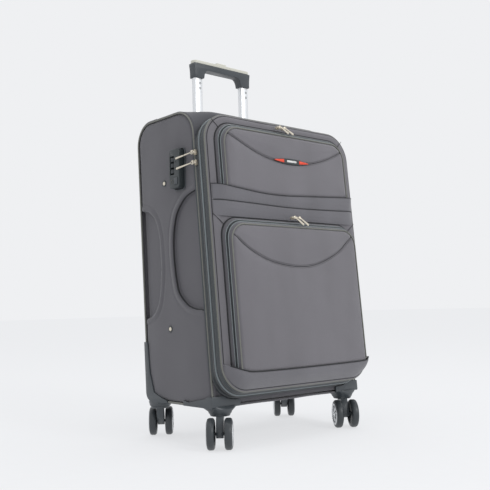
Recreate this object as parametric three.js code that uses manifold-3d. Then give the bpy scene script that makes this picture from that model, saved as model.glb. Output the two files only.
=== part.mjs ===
// Softside upright suitcase with a hinged zip lid, two front pockets, a telescopic handle,
// a side combination lock and four twin-wheel swivel casters. Millimetres, +Z up, front faces -Y.
import * as THREE from 'three';
import { mergeVertices } from 'three/addons/utils/BufferGeometryUtils.js';
import Module from 'manifold-3d';

const wasm = await Module();
wasm.setup();

// ---------------------------------------------------------------- driving dimensions
const GAP = 0.3;                 // clearance between touching pieces
const HALF_WIDTH = 205;          // case body, outside
const BODY_BOTTOM = 80;          // underside of the body above the floor
const BODY_TOP = 671;            // top of the body
const WALL = 4;                  // stiffened fabric wall

const SEAM_LEAN = THREE.MathUtils.degToRad(4.8);   // the opening leans back by this angle
const SEAM_FOOT_Y = -88;         // where the plane of the opening meets the floor
const REAR_FOOT_Y = 134;         // where the rear plane meets the floor
const REAR_LEAN = THREE.MathUtils.degToRad(2.7);
const TOP_FRONT_RADIUS = 55;
const TOP_REAR_RADIUS = 45;
const BOTTOM_REAR_RADIUS = 15;

const SIDE_THICKNESS = 11;       // padded side panel
const RECESS_DEPTH = 7;          // the two D-shaped hollows in each side
const FRONT_RECESS = { top: 507, bottom: 262, deepest: 38, middle: 405 };
const REAR_RECESS = { top: 483, bottom: 247, deepest: 82, middle: 365 };

const LID_DEPTH = 38;            // zip gusset of the lid
const LID_TOP = 655;
const LID_BOTTOM = 104;
const LID_SEAM_BOTTOM = 91;      // the gusset widens downwards to the zip
const LID_RADIUS = 58;
const LID_WALL = 4;
const LID_FRONT = LID_DEPTH + GAP + LID_WALL;      // face that the pockets stand on

const UPPER_POCKET = {
  bottom: 501, top: 638, baseHalf: 187, faceHalf: 173, faceTop: 625, proud: 18, radius: 42,
};
const LOWER_POCKET = {
  bottom: 147, top: 444, baseHalf: 187, faceHalf: 177, faceTop: 427, proud: 24, radius: 40,
};
const POCKET_WALL = 3;

const TUBE_X = 69;               // handle tube centres
const TUBE_Y = 123;
const TUBE_WALL = 1.2;
const GUIDE_TUBE = { width: 29.4, depth: 21.2, bottom: 99.3, top: 650 };
const MIDDLE_TUBE = { width: 26.4, depth: 18.2, bottom: 100, top: 668 };
const UPPER_TUBE = { width: 23.2, depth: 15, bottom: 225, top: 795.7 };
const GRIP_LEG_BOTTOM = 796;
const GRIP_TOP = 836;
const GRIP_COVER = 6.5;          // thickness of the pale cover
const GRIP_HALF = 83;
const GRIP_DEPTH = 21;
const BAR_UNDERSIDE = 816;
const RELEASE_PROUD = 5;         // release button above the cover

const NECK_TOP = 69;
const WHEEL_RADIUS = 30;
const WHEEL_WIDTH = 15;
const WHEEL_SPACING = 34;        // centre to centre of a pair
const CASTER_TRAIL = 26;
// centre of each swivel, and the heading of its wheel pair in degrees from +X as the case stands
const CASTERS = {
  front_left: { x: -178, y: -70, heading: 228 },
  front_right: { x: 175, y: -67, heading: 236 },
  rear_left: { x: -182, y: 128, heading: 52 },
  rear_right: { x: 182, y: 128, heading: 50 },
};
const FORK = { discTopRadius: 21, discBottomRadius: 19, discBottom: 61, stemHalfWidth: 7, axleRadius: 3 };
const GUARD_PROUD = 3.3;         // guards stand out from the body
const GUARD_INNER_X = 138;       // where a guard ends on the front, back and underside
const BORDER_SPLIT_Z = 604;      // the top panel reaches down to here beside the opening

const LOCK = { front: -8, rear: 26, bottom: 513, top: 593, proud: 15 };
const DIAL = { y: 16, heights: [572, 560, 548], radius: 6.2, thickness: 8 };
const LOCK_BUTTON = { y: 3, half: 5.6, bottom: 520, top: 534, proud: 1.2 };

// ---------------------------------------------------------------- materials
function finish(color, roughness, metalness) {
  return new THREE.MeshStandardMaterial({ color, roughness, metalness });
}
const FABRIC = finish(0x5f5f64, 0.85, 0);
const FRONT_FABRIC = finish(0x77767a, 0.8, 0);
const LINING = finish(0x3a3a3e, 0.9, 0);
const ZIP_TAPE = finish(0x4b5152, 0.75, 0);
const PLASTIC = finish(0x464a4e, 0.5, 0);
const ALUMINIUM = finish(0xd8dadc, 0.3, 0.9);
const PALE_PLASTIC = finish(0xb9b8b0, 0.4, 0.1);
const NICKEL = finish(0xcfc4b0, 0.28, 1);
const RUBBER = finish(0x35383a, 0.7, 0);

// ---------------------------------------------------------------- geometry helpers
function solid(geometry) {
  const bare = geometry.clone();
  bare.deleteAttribute('normal');
  bare.deleteAttribute('uv');
  const welded = mergeVertices(bare, 1e-4);
  const source = welded.index ? welded : bare;
  const mesh = new wasm.Mesh({
    numProp: 3,
    vertProperties: new Float32Array(source.attributes.position.array),
    triVerts: new Uint32Array(source.index.array),
  });
  return new wasm.Manifold(mesh);
}

function geometryOf(manifold) {
  const mesh = manifold.getMesh();
  const geometry = new THREE.BufferGeometry();
  geometry.setAttribute('position', new THREE.BufferAttribute(new Float32Array(mesh.vertProperties), 3));
  geometry.setIndex(new THREE.BufferAttribute(new Uint32Array(mesh.triVerts), 1));
  geometry.computeVertexNormals();
  return geometry;
}

function cut(geometry, ...cutters) {
  return geometryOf(cutters.reduce((body, cutter) => body.subtract(solid(cutter)), solid(geometry)));
}

function join(geometry, ...others) {
  return geometryOf(others.reduce((body, other) => body.add(solid(other)), solid(geometry)));
}

function outline(points) {
  return new THREE.Shape(points.map(([a, b]) => new THREE.Vector2(a, b)));
}

function extrude(shape, depth, curveSegments = 8) {
  return new THREE.ExtrudeGeometry(shape, { depth, bevelEnabled: false, curveSegments });
}

// A closed outline with rounded corners: corners run anticlockwise, one radius for each.
function roundedPolygon(corners, radii, steps = 6) {
  const points = [];
  corners.forEach((corner, i) => {
    const radius = radii[i];
    const here = new THREE.Vector2(...corner);
    const before = corners[(i + corners.length - 1) % corners.length];
    const back = new THREE.Vector2(...before).sub(here).normalize();
    const ahead = new THREE.Vector2(...corners[(i + 1) % corners.length]).sub(here).normalize();
    if (radius <= 0) {
      points.push([here.x, here.y]);
      return;
    }
    const halfAngle = Math.acos(THREE.MathUtils.clamp(back.dot(ahead), -1, 1)) / 2;
    const centre = back.clone().add(ahead).normalize().multiplyScalar(radius / Math.sin(halfAngle)).add(here);
    const start = back.clone().multiplyScalar(radius / Math.tan(halfAngle)).add(here).sub(centre);
    const turn = Math.PI - 2 * halfAngle;
    for (let step = 0; step <= steps; step += 1) {
      const point = start.clone().rotateAround(new THREE.Vector2(), (turn * step) / steps).add(centre);
      points.push([point.x, point.y]);
    }
  });
  return points;
}

function roundedRect(left, right, bottom, top, radii, steps = 6) {
  const list = Array.isArray(radii) ? radii : [radii, radii, radii, radii];
  return roundedPolygon([[left, bottom], [right, bottom], [right, top], [left, top]], list, steps);
}

function roundedBox(size, centre, radius, steps = 3) {
  const [width, depth, height] = size;
  const shape = outline(roundedRect(-width / 2, width / 2, -depth / 2, depth / 2, radius, steps));
  return extrude(shape, height).translate(centre[0], centre[1], centre[2] - height / 2);
}

// Extrude an outline drawn as (y, z) along X.
function alongX(points, from, to) {
  const basis = new THREE.Matrix4().makeBasis(
    new THREE.Vector3(0, 1, 0), new THREE.Vector3(0, 0, 1), new THREE.Vector3(1, 0, 0));
  const shape = points instanceof THREE.Shape ? points : outline(points);
  return extrude(shape, to - from, 12).applyMatrix4(basis).translate(from, 0, 0);
}

// Skin a row of closed loops, all with the same number of points, and cap both ends.
function loft(loops) {
  const count = loops[0].length;
  const index = [];
  for (let ring = 0; ring + 1 < loops.length; ring += 1) {
    for (let i = 0; i < count; i += 1) {
      const a = ring * count + i;
      const b = ring * count + ((i + 1) % count);
      index.push(a, b, a + count, b, b + count, a + count);
    }
  }
  index.push(...cap(loops[0], 0, false));
  index.push(...cap(loops[loops.length - 1], (loops.length - 1) * count, true));
  const points = loops.flat();
  if (signedVolume(points, index) < 0) {
    index.reverse();
  }
  const geometry = new THREE.BufferGeometry();
  geometry.setAttribute('position', new THREE.Float32BufferAttribute(points.flat(), 3));
  geometry.setIndex(index);
  return geometry;
}

// Triangles that close a loop, running with it or against it.
function cap(loop, offset, withLoop) {
  const size = [0, 1, 2].map((axis) => {
    const values = loop.map((point) => point[axis]);
    return Math.max(...values) - Math.min(...values);
  });
  const [u, v] = [0, 1, 2].filter((axis) => axis !== size.indexOf(Math.min(...size)));
  const flat = loop.map((point) => new THREE.Vector2(point[u], point[v]));
  const direction = Math.sign(THREE.ShapeUtils.area(flat));
  return THREE.ShapeUtils.triangulateShape(flat, []).flatMap(([a, b, c]) => {
    const runsWithLoop = Math.sign(THREE.ShapeUtils.area([flat[a], flat[b], flat[c]])) === direction;
    return (runsWithLoop === withLoop ? [a, b, c] : [a, c, b]).map((corner) => corner + offset);
  });
}

function signedVolume(points, index) {
  const corner = (i) => new THREE.Vector3(...points[index[i]]);
  let volume = 0;
  for (let i = 0; i < index.length; i += 3) {
    volume += corner(i).dot(corner(i + 1).cross(corner(i + 2))) / 6;
  }
  return volume;
}

function tubeBetween(width, depth, bottom, top, wall, centre, steps = 2) {
  const ring = outline(roundedRect(-width / 2, width / 2, -depth / 2, depth / 2, depth / 3, steps));
  const inside = roundedRect(-width / 2 + wall, width / 2 - wall, -depth / 2 + wall, depth / 2 - wall,
    depth / 3 - wall / 2, steps);
  ring.holes.push(new THREE.Path(inside.map(([a, b]) => new THREE.Vector2(a, b))));
  return extrude(ring, top - bottom).translate(centre[0], centre[1], bottom);
}

const suitcase = new THREE.Group();

function add(parent, name, geometry, material) {
  const mesh = new THREE.Mesh(geometry, material.clone());
  mesh.name = name;
  parent.add(mesh);
  return mesh;
}

// ---------------------------------------------------------------- body shell
// Y of the opening's plane and of the rear plane at a height z.
const seamY = (z) => SEAM_FOOT_Y + z * Math.tan(SEAM_LEAN);
const rearY = (z) => REAR_FOOT_Y + z * Math.tan(REAR_LEAN);

// Side view of the body, drawn as (y, z), moved inwards by `inset`.
function bodyOutline(inset, topFrontRadius = TOP_FRONT_RADIUS) {
  const bottom = BODY_BOTTOM + inset;
  const top = BODY_TOP - inset;
  const seamInset = inset / Math.cos(SEAM_LEAN);
  const rearInset = inset / Math.cos(REAR_LEAN);
  const corners = [
    [seamY(bottom) + seamInset, bottom],
    [rearY(bottom) - rearInset, bottom],
    [rearY(top) - rearInset, top],
    [seamY(top) + seamInset, top],
  ];
  const radii = [0, BOTTOM_REAR_RADIUS, TOP_REAR_RADIUS, topFrontRadius].map((r) => Math.max(r - inset, 0));
  return roundedPolygon(corners, radii);
}

// The front is a lid frame: x, height up the slope, distance out from the opening.
const lidFrame = new THREE.Group();
lidFrame.position.set(0, SEAM_FOOT_Y, 0);
lidFrame.rotation.x = Math.PI / 2 - SEAM_LEAN;
lidFrame.updateMatrix();
const slope = (z) => z / Math.cos(SEAM_LEAN);

// The body wall is one rounded sleeve. Its top front edge is round at the sides and
// squarer behind the lid.
function sleeve(inset, half) {
  const stations = [[-half, TOP_FRONT_RADIUS], [-140, 16], [140, 16], [half, TOP_FRONT_RADIUS]];
  return loft(stations.map(([x, radius]) => bodyOutline(inset, radius).map(([y, z]) => [x, y, z])));
}

// A block that keeps only the part of the sleeve between two heights and depths.
function block(fromX, toX, fromY, toY, fromZ, toZ) {
  return new THREE.BoxGeometry(toX - fromX, toY - fromY, toZ - fromZ)
    .translate((fromX + toX) / 2, (fromY + toY) / 2, (fromZ + toZ) / 2);
}

function sleevePiece(region, ...holes) {
  const wall = solid(sleeve(0, HALF_WIDTH)).subtract(solid(sleeve(WALL, HALF_WIDTH + 1)));
  return geometryOf(holes.reduce((body, hole) => body.subtract(solid(hole)), wall.intersect(solid(region))));
}

const FAR = 400;
const SPLIT_Y = 95;              // top panel meets the wrapped-over back panel
const SPLIT_Z = 108;             // back panel meets the bottom panel

function lidOpening() {
  const margin = 16;
  const shape = outline(roundedRect(-HALF_WIDTH + margin, HALF_WIDTH - margin,
    slope(BODY_BOTTOM) + 26, slope(LID_TOP) - margin, LID_RADIUS - margin));
  const opening = extrude(shape, 60).translate(0, 0, -30);
  return opening.applyMatrix4(lidFrame.matrix);
}

// Cutters for the two handle tubes, wider than the middle tube by a clearance.
function tubeSlots(clearance) {
  const size = [MIDDLE_TUBE.width + clearance, MIDDLE_TUBE.depth + clearance, 80];
  return [-1, 1].map((side) => roundedBox(size, [side * TUBE_X, TUBE_Y, BODY_TOP + 9], 4));
}

function addShell() {
  const frontEdge = (z) => seamY(z) + WALL + GAP;
  const topRegion = block(-FAR, FAR, -FAR, SPLIT_Y, BORDER_SPLIT_Z, FAR * 2);
  add(suitcase, 'top_panel', sleevePiece(topRegion, lidOpening()), FABRIC);
  const backRegion = block(-FAR, FAR, SPLIT_Y + GAP, FAR, SPLIT_Z, FAR * 2);
  add(suitcase, 'back_panel', sleevePiece(backRegion, ...tubeSlots(1.4)), FABRIC);
  const floorRegion = block(-FAR, FAR, frontEdge(BODY_BOTTOM), FAR, 0, BODY_BOTTOM + WALL + GAP);
  const bottomRegion = join(floorRegion, block(-FAR, FAR, 0, FAR, 0, SPLIT_Z - GAP));
  add(suitcase, 'bottom_panel', sleevePiece(bottomRegion), FABRIC);
  const borderRegion = block(-FAR, FAR, -FAR, frontEdge(BODY_BOTTOM) - GAP, 0, BORDER_SPLIT_Z - GAP);
  const upperBorder = block(-FAR, FAR, -FAR, 0, BODY_BOTTOM + WALL + 2 * GAP, BORDER_SPLIT_Z - GAP);
  const region = join(borderRegion, upperBorder);
  add(suitcase, 'front_border', sleevePiece(region, lidOpening()), FABRIC);
}

// Each side is a padded panel with two D-shaped hollows, one open to each edge.
// Its outline runs from the open edge round the deepest point and back.
function recessCutter(recess, side) {
  const shape = new THREE.Shape();
  const reach = (recess.top - recess.bottom) * 0.28;
  const beyond = side * 160 + 40;
  const edge = side * 80 + 50;
  shape.moveTo(beyond, recess.top);
  shape.lineTo(edge, recess.top - 4);
  shape.bezierCurveTo(recess.deepest + side * 12, recess.top - 12,
    recess.deepest, recess.middle + reach, recess.deepest, recess.middle);
  shape.bezierCurveTo(recess.deepest, recess.middle - reach,
    recess.deepest + side * 18, recess.bottom + 12, edge, recess.bottom + 4);
  shape.lineTo(beyond, recess.bottom);
  shape.closePath();
  return shape;
}

function addSides() {
  for (const [name, side] of [['left', -1], ['right', 1]]) {
    const inner = HALF_WIDTH - SIDE_THICKNESS;
    const span = side < 0 ? [-HALF_WIDTH, -inner] : [inner, HALF_WIDTH];
    const panel = alongX(bodyOutline(WALL + GAP), span[0], span[1]);
    const floor = HALF_WIDTH - RECESS_DEPTH;
    const depth = side < 0 ? [-HALF_WIDTH - 5, -floor] : [floor, HALF_WIDTH + 5];
    const hollows = [
      alongX(recessCutter(FRONT_RECESS, -1), depth[0], depth[1]),
      alongX(recessCutter(REAR_RECESS, 1), depth[0], depth[1]),
    ];
    add(suitcase, `side_panel_${name}`, cut(panel, ...hollows), FABRIC);
  }
}

// Padded board in front of the handle tubes, seen when the case is open.
function addLining() {
  const inner = HALF_WIDTH - SIDE_THICKNESS - 1;
  const panel = block(-inner, inner, 106, 108.5, BODY_BOTTOM + WALL + 2, BODY_TOP - WALL - 2);
  add(suitcase, 'inner_back_board', panel, LINING);
}

// ---------------------------------------------------------------- lid and pockets
function lidRing(w, inset) {
  const t = w / LID_DEPTH;
  const bottom = LID_SEAM_BOTTOM + (LID_BOTTOM - LID_SEAM_BOTTOM) * t;
  const corners = roundedRect(-HALF_WIDTH + inset, HALF_WIDTH - inset, bottom + inset, LID_TOP - inset,
    LID_RADIUS - inset, 8);
  return corners.map(([x, v]) => [x, v, w]);
}

function addLid() {
  const outer = loft([lidRing(GAP, 0), lidRing(LID_DEPTH, 0)]);
  const inner = loft([lidRing(GAP - 5, LID_WALL), lidRing(LID_DEPTH + 5, LID_WALL)]);
  add(lidFrame, 'lid_gusset', cut(outer, inner), ZIP_TAPE);
  const face = outline(roundedRect(-HALF_WIDTH - 2, HALF_WIDTH + 2, LID_BOTTOM, LID_TOP, LID_RADIUS, 8));
  add(lidFrame, 'lid_front_panel', extrude(face, LID_WALL).translate(0, 0, LID_DEPTH + GAP), FRONT_FABRIC);

  // Bands that run across the lid below each pocket and slope back to its face.
  const base = LID_FRONT + GAP;
  const middle = [
    [446, base], [UPPER_POCKET.bottom - 2, base], [UPPER_POCKET.bottom - 2, base + 16],
    [474, base + 7], [456, base + 3],
  ];
  add(lidFrame, 'middle_band', alongX(middle, -UPPER_POCKET.baseHalf, UPPER_POCKET.baseHalf), FRONT_FABRIC);
  const bottomTop = LOWER_POCKET.bottom - 2;
  const half = (v) => 187 - Math.max(0, 150 - v) * 0.35;
  const bandLoop = (x) => {
    const low = LID_BOTTOM + 6 + Math.max(0, Math.abs(x) - 150) * 0.75;
    return [
      [x, low, base], [x, low, base + 2], [x, (low + bottomTop) / 2, base + 14],
      [x, bottomTop, base + 21], [x, bottomTop, base],
    ];
  };
  const stations = [-half(150), -150, 150, half(150)];
  add(lidFrame, 'bottom_band', loft(stations.map(bandLoop)), FRONT_FABRIC);
}

// A pocket flap is a shallow tray, open at the back, whose zipped sides slope inwards.
function trayLoop(pocket, w, inset) {
  const base = LID_FRONT + GAP;
  const t = (w - base) / pocket.proud;
  const half = pocket.baseHalf + (pocket.faceHalf - pocket.baseHalf) * t - inset;
  const top = pocket.top + (pocket.faceTop - pocket.top) * t - inset;
  const bottom = pocket.bottom + inset;
  return roundedRect(-half, half, bottom, top, [0, 0, pocket.radius - inset, pocket.radius - inset], 6)
    .map(([x, v]) => [x, v, w]);
}

function addPocket(name, pocket) {
  const base = LID_FRONT + GAP;
  const face = base + pocket.proud;
  const outer = loft([trayLoop(pocket, base, 0), trayLoop(pocket, face, 0)]);
  const inner = loft([
    trayLoop(pocket, base - 3, POCKET_WALL),
    trayLoop(pocket, face - POCKET_WALL, POCKET_WALL),
  ]);
  add(lidFrame, name, cut(outer, inner), FRONT_FABRIC);
}

// ---------------------------------------------------------------- zip sliders and pulls
// A slider saddles the zip; its pull is a tapered bar on a bail at the top of the slider.
function addSlider(parent, name, size, centre) {
  const [alongTravel, across, height] = size;
  const body = new THREE.BoxGeometry(alongTravel, across, height);
  return add(parent, name, body.translate(centre[0], centre[1], centre[2]), NICKEL);
}

function pullGeometry(length, width, thickness) {
  const shape = outline(roundedPolygon(
    [[-4, -width / 2], [length, -width / 3], [length, width / 3], [-4, width / 2]],
    [2, 1, 1, 2], 2));
  const hole = new THREE.Path();
  hole.absarc(0, 0, 1.4, 0, Math.PI * 2, true);
  shape.holes.push(hole);
  return extrude(shape, thickness, 4);
}

// Two sliders meet at the middle of a pocket's zip. The left pull lies over the right one.
function addPocketPulls(prefix, pocket, placings, length, dip) {
  const face = LID_FRONT + GAP + pocket.proud;
  for (const [side, x, layer] of placings) {
    const v = pocket.top + GAP + 3.3;
    const back = LID_FRONT + 5;
    const front = face + 1 + layer * 2;
    addSlider(lidFrame, `${prefix}_slider_${side}`, [9, 6.6, front - back], [x, v, (front + back) / 2]);
    const pull = add(lidFrame, `${prefix}_pull_${side}`, pullGeometry(length, 6, 1.6), NICKEL);
    pull.position.set(x, v, front + GAP);
    pull.rotation.z = -dip;
  }
}

const MAIN_PULLS = [['upper', 580], ['lower', 559]];

function addMainZipSliders() {
  for (const [side, v] of MAIN_PULLS) {
    const outside = HALF_WIDTH + GAP;
    addSlider(lidFrame, `main_slider_${side}`, [6.2, 11, 8], [-outside - 3.1, v, 7]);
    const pull = pullGeometry(44, 6, 1.6).applyMatrix4(new THREE.Matrix4().makeBasis(
      new THREE.Vector3(0, 1, 0), new THREE.Vector3(0, 0, 1), new THREE.Vector3(1, 0, 0)));
    const hinge = mainPullHinge(v);
    const bar = add(suitcase, `main_pull_${side}`, pull, NICKEL);
    bar.position.copy(hinge);
    bar.rotation.order = 'ZXY';
    bar.rotation.z = 0.205;
    bar.rotation.x = -0.17;
  }
}

function mainPullHinge(v) {
  const point = new THREE.Vector3(-HALF_WIDTH - 11.2, v, 3).applyMatrix4(lidFrame.matrix);
  return point;
}

// ---------------------------------------------------------------- combination lock
function addLock() {
  const outerFace = -HALF_WIDTH - GAP - LOCK.proud;
  const shape = roundedRect(LOCK.front, LOCK.rear, LOCK.bottom, LOCK.top, 6, 3);
  const body = alongX(shape, outerFace, -HALF_WIDTH - GAP);
  const slotEnd = DIAL.thickness / 2 + 3;
  const [highest, , lowest] = DIAL.heights;
  const dialSlot = block(outerFace - 2, outerFace + 12, DIAL.y - 7, DIAL.y + 7,
    lowest - slotEnd, highest + slotEnd);
  const well = LOCK_BUTTON.half + 0.4;
  const buttonWell = block(outerFace - 2, outerFace + 7, LOCK_BUTTON.y - well, LOCK_BUTTON.y + well,
    LOCK_BUTTON.bottom - GAP, LOCK_BUTTON.top + GAP);
  add(suitcase, 'lock_body', cut(body, dialSlot, buttonWell), PLASTIC);
  DIAL.heights.forEach((z, i) => {
    const dial = new THREE.CylinderGeometry(DIAL.radius, DIAL.radius, DIAL.thickness, 12)
      .rotateX(Math.PI / 2);
    add(suitcase, `lock_dial_${i + 1}`, dial, RUBBER).position.set(outerFace + 5, DIAL.y, z);
  });
  const button = block(outerFace - LOCK_BUTTON.proud, outerFace + 3.4,
    LOCK_BUTTON.y - LOCK_BUTTON.half, LOCK_BUTTON.y + LOCK_BUTTON.half, LOCK_BUTTON.bottom, LOCK_BUTTON.top);
  add(suitcase, 'lock_button', button, NICKEL);
}

// ---------------------------------------------------------------- telescopic handle
function addHandle() {
  const floor = BODY_BOTTOM + WALL + 5;
  const bracket = roundedBox([2 * TUBE_X + 44, 15, 10], [0, TUBE_Y, floor + 5], 4);
  add(suitcase, 'handle_base_bracket', bracket, PLASTIC);
  for (const [side, sign] of [['left', -1], ['right', 1]]) {
    for (const [stage, tube] of [['guide', GUIDE_TUBE], ['middle', MIDDLE_TUBE], ['upper', UPPER_TUBE]]) {
      const shape = tubeBetween(tube.width, tube.depth, tube.bottom, tube.top, TUBE_WALL,
        [sign * TUBE_X, TUBE_Y]);
      add(suitcase, `handle_${stage}_tube_${side}`, shape, ALUMINIUM);
    }
  }
  const plate = roundedBox([204, 40, 30], [0, TUBE_Y + 3, BODY_TOP - 9.5], 10);
  const bodySolid = alongX(bodyOutline(-GAP), -FAR, FAR);
  add(suitcase, 'handle_bezel', cut(plate, bodySolid, ...tubeSlots(1)), PLASTIC);
}

// The grip's two legs flare up from the tubes into a bar; a pale cover with a button lies on top.
function addGrip() {
  const coverBottom = GRIP_TOP - GRIP_COVER;
  const legOuter = TUBE_X + 13;
  const legInner = TUBE_X - 13;
  const half = GRIP_HALF;
  const profile = new THREE.Shape();
  profile.moveTo(-legOuter + 1, GRIP_LEG_BOTTOM);
  profile.lineTo(-legInner, GRIP_LEG_BOTTOM);
  profile.quadraticCurveTo(-legInner + 2, BAR_UNDERSIDE, -legInner + 14, BAR_UNDERSIDE);
  profile.lineTo(legInner - 14, BAR_UNDERSIDE);
  profile.quadraticCurveTo(legInner - 2, BAR_UNDERSIDE, legInner, GRIP_LEG_BOTTOM);
  profile.lineTo(legOuter - 1, GRIP_LEG_BOTTOM);
  profile.quadraticCurveTo(legOuter - 1, coverBottom - 14, half, coverBottom - 5);
  profile.lineTo(half, coverBottom - GAP);
  profile.lineTo(-half, coverBottom - GAP);
  profile.lineTo(-half, coverBottom - 5);
  profile.quadraticCurveTo(-legOuter + 1, coverBottom - 14, -legOuter + 1, GRIP_LEG_BOTTOM);
  const upright = new THREE.Matrix4().makeRotationX(Math.PI / 2);
  const body = extrude(profile, GRIP_DEPTH, 4).applyMatrix4(upright).translate(0, TUBE_Y + GRIP_DEPTH / 2, 0);
  const buttonWell = roundedBox([30, 14, 12], [0, TUBE_Y, coverBottom], 3);
  add(suitcase, 'grip_body', cut(body, buttonWell), PLASTIC);

  const cover = roundedBox([2 * half, GRIP_DEPTH, GRIP_COVER], [0, TUBE_Y, GRIP_TOP - GRIP_COVER / 2], 9);
  const buttonHole = roundedBox([30, 14, 30], [0, TUBE_Y, GRIP_TOP], 3);
  add(suitcase, 'grip_top_cover', cut(cover, buttonHole), PALE_PLASTIC);
  const button = roundedBox([29, 13, GRIP_COVER + RELEASE_PROUD],
    [0, TUBE_Y, (coverBottom + GRIP_TOP + RELEASE_PROUD) / 2], 3);
  add(suitcase, 'handle_release_button', button, PALE_PLASTIC);
}

// Flat carry strap, sewn down at both ends; a shallow arch in the middle.
function addCarryHandle() {
  const y = 45;
  const reach = 104;
  const steps = 8;
  const loops = [];
  for (let i = 0; i <= steps; i += 1) {
    const s = -1 + (2 * i) / steps;
    const lift = 1.6 * (1 - s ** 4);
    const half = 15 - 3 * s ** 2;
    const low = BODY_TOP + GAP + lift * 0.3;
    const high = BODY_TOP + 3.6 + lift;
    loops.push([
      [s * reach, y - half, low + 0.8], [s * reach, y - half + 3, low], [s * reach, y + half - 3, low],
      [s * reach, y + half, low + 0.8], [s * reach, y + half - 3, high], [s * reach, y - half + 3, high],
    ]);
  }
  add(suitcase, 'top_carry_handle', loft(loops), RUBBER);
}

// ---------------------------------------------------------------- corner guards and casters

// The space that the closed lid needs in front of the body.
function lidClearance() {
  const around = roundedRect(-HALF_WIDTH - 1, HALF_WIDTH + 1, LID_SEAM_BOTTOM - 1, LID_TOP, LID_RADIUS, 8);
  const shape = outline(around);
  return extrude(shape, 80).applyMatrix4(lidFrame.matrix);
}

// The outline, seen from the side, of what a guard covers.
const FRONT_GUARD_EDGE = [
  [-130, 60], [9, 60], [9, 87], [-9, 84], [-42, 91], [-61, 94], [-72, 99], [-130, 99],
];
const REAR_GUARD_EDGE = [
  [66, 60], [165, 60], [165, 200], [135, 200], [127, 135], [113, 96], [84, 86], [66, 82],
];

// The loops of a neck that spreads from the round swivel to the guard's underside.
function neckLoops(caster) {
  const levels = [[66, 0, 22], [70, 0.05, 23], [75, 0.4, 26], [BODY_BOTTOM - GAP, 1, 26]];
  const middle = [Math.sign(caster.x) * 174, caster.y < 0 ? -58 : 112];
  const steps = 24;
  return levels.map(([z, spread, radius]) => Array.from({ length: steps }, (_, i) => {
    const turn = (i / steps) * Math.PI * 2;
    const [c, s] = [Math.cos(turn), Math.sin(turn)];
    const square = 1 / Math.max(Math.abs(c) ** 4 + Math.abs(s) ** 4, 0.01) ** 0.25;
    const round = [caster.x + radius * c, caster.y + radius * s];
    const pad = [middle[0] + 33 * square * c, middle[1] + 30 * square * s];
    return [round[0] + (pad[0] - round[0]) * spread, round[1] + (pad[1] - round[1]) * spread, z];
  }));
}

// A guard wraps a bottom corner of the body and spreads down to the caster's socket.
function addGuards() {
  const body = alongX(bodyOutline(-GAP), -HALF_WIDTH - GAP, HALF_WIDTH + GAP);
  for (const [name, caster] of Object.entries(CASTERS)) {
    const side = Math.sign(caster.x);
    const edge = caster.y < 0 ? FRONT_GUARD_EDGE : REAR_GUARD_EDGE;
    const span = [GUARD_INNER_X, HALF_WIDTH + GUARD_PROUD].map((x) => side * x).sort((a, b) => a - b);
    const skin = solid(alongX(bodyOutline(-GUARD_PROUD), span[0], span[1]));
    const wrap = geometryOf(skin.intersect(solid(alongX(edge, span[0], span[1]))));
    const guard = join(wrap, loft(neckLoops(caster)));
    add(suitcase, `corner_guard_${name}`, cut(guard, body, lidClearance()), PLASTIC);
  }
}

// Fork: a swivel disc, a stem that leans back to the axle, and the axle itself.
function forkGeometry() {
  const { discBottom } = FORK;
  const discTop = NECK_TOP - 3 - GAP;
  const disc = new THREE.CylinderGeometry(
    FORK.discTopRadius, FORK.discBottomRadius, discTop - discBottom, 20,
  ).rotateX(Math.PI / 2).translate(0, 0, (discTop + discBottom) / 2);
  const side = new THREE.Shape();
  side.moveTo(-17, discBottom + 2);
  side.quadraticCurveTo(-12, 36, CASTER_TRAIL - 8, WHEEL_RADIUS - 5);
  side.quadraticCurveTo(CASTER_TRAIL, WHEEL_RADIUS - 13, CASTER_TRAIL + 8, WHEEL_RADIUS - 3);
  side.quadraticCurveTo(CASTER_TRAIL + 8, 44, 17, discBottom + 2);
  const stem = extrude(side, 2 * FORK.stemHalfWidth, 4)
    .rotateX(Math.PI / 2).translate(0, FORK.stemHalfWidth, 0);
  const axleLength = WHEEL_SPACING + WHEEL_WIDTH - 4;
  const axle = new THREE.CylinderGeometry(FORK.axleRadius, FORK.axleRadius, axleLength, 12)
    .translate(CASTER_TRAIL, 0, WHEEL_RADIUS);
  return join(disc, stem, axle);
}

function wheelGeometry() {
  const half = WHEEL_WIDTH / 2;
  const profile = [
    [3.4, -half + 1], [19, -half + 1], [21, -half], [WHEEL_RADIUS - 3, -half], [WHEEL_RADIUS, -half + 3.5],
    [WHEEL_RADIUS, half - 3.5], [WHEEL_RADIUS - 3, half], [21, half], [19, half - 1], [3.4, half - 1],
    [3.4, -half + 1],
  ];
  return new THREE.LatheGeometry(profile.map(([r, h]) => new THREE.Vector2(r, h)), 24);
}

function addCasters() {
  for (const [name, caster] of Object.entries(CASTERS)) {
    const swivel = new THREE.Group();
    swivel.position.set(caster.x, caster.y, 0);
    swivel.rotation.z = THREE.MathUtils.degToRad(caster.heading);
    suitcase.add(swivel);
    add(swivel, `caster_fork_${name}`, forkGeometry(), PLASTIC);
    for (const [wheelSide, offset] of [['a', -1], ['b', 1]]) {
      const wheel = add(swivel, `wheel_${name}_${wheelSide}`, wheelGeometry(), RUBBER);
      wheel.position.set(CASTER_TRAIL, (offset * WHEEL_SPACING) / 2, WHEEL_RADIUS);
    }
  }
}

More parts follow.
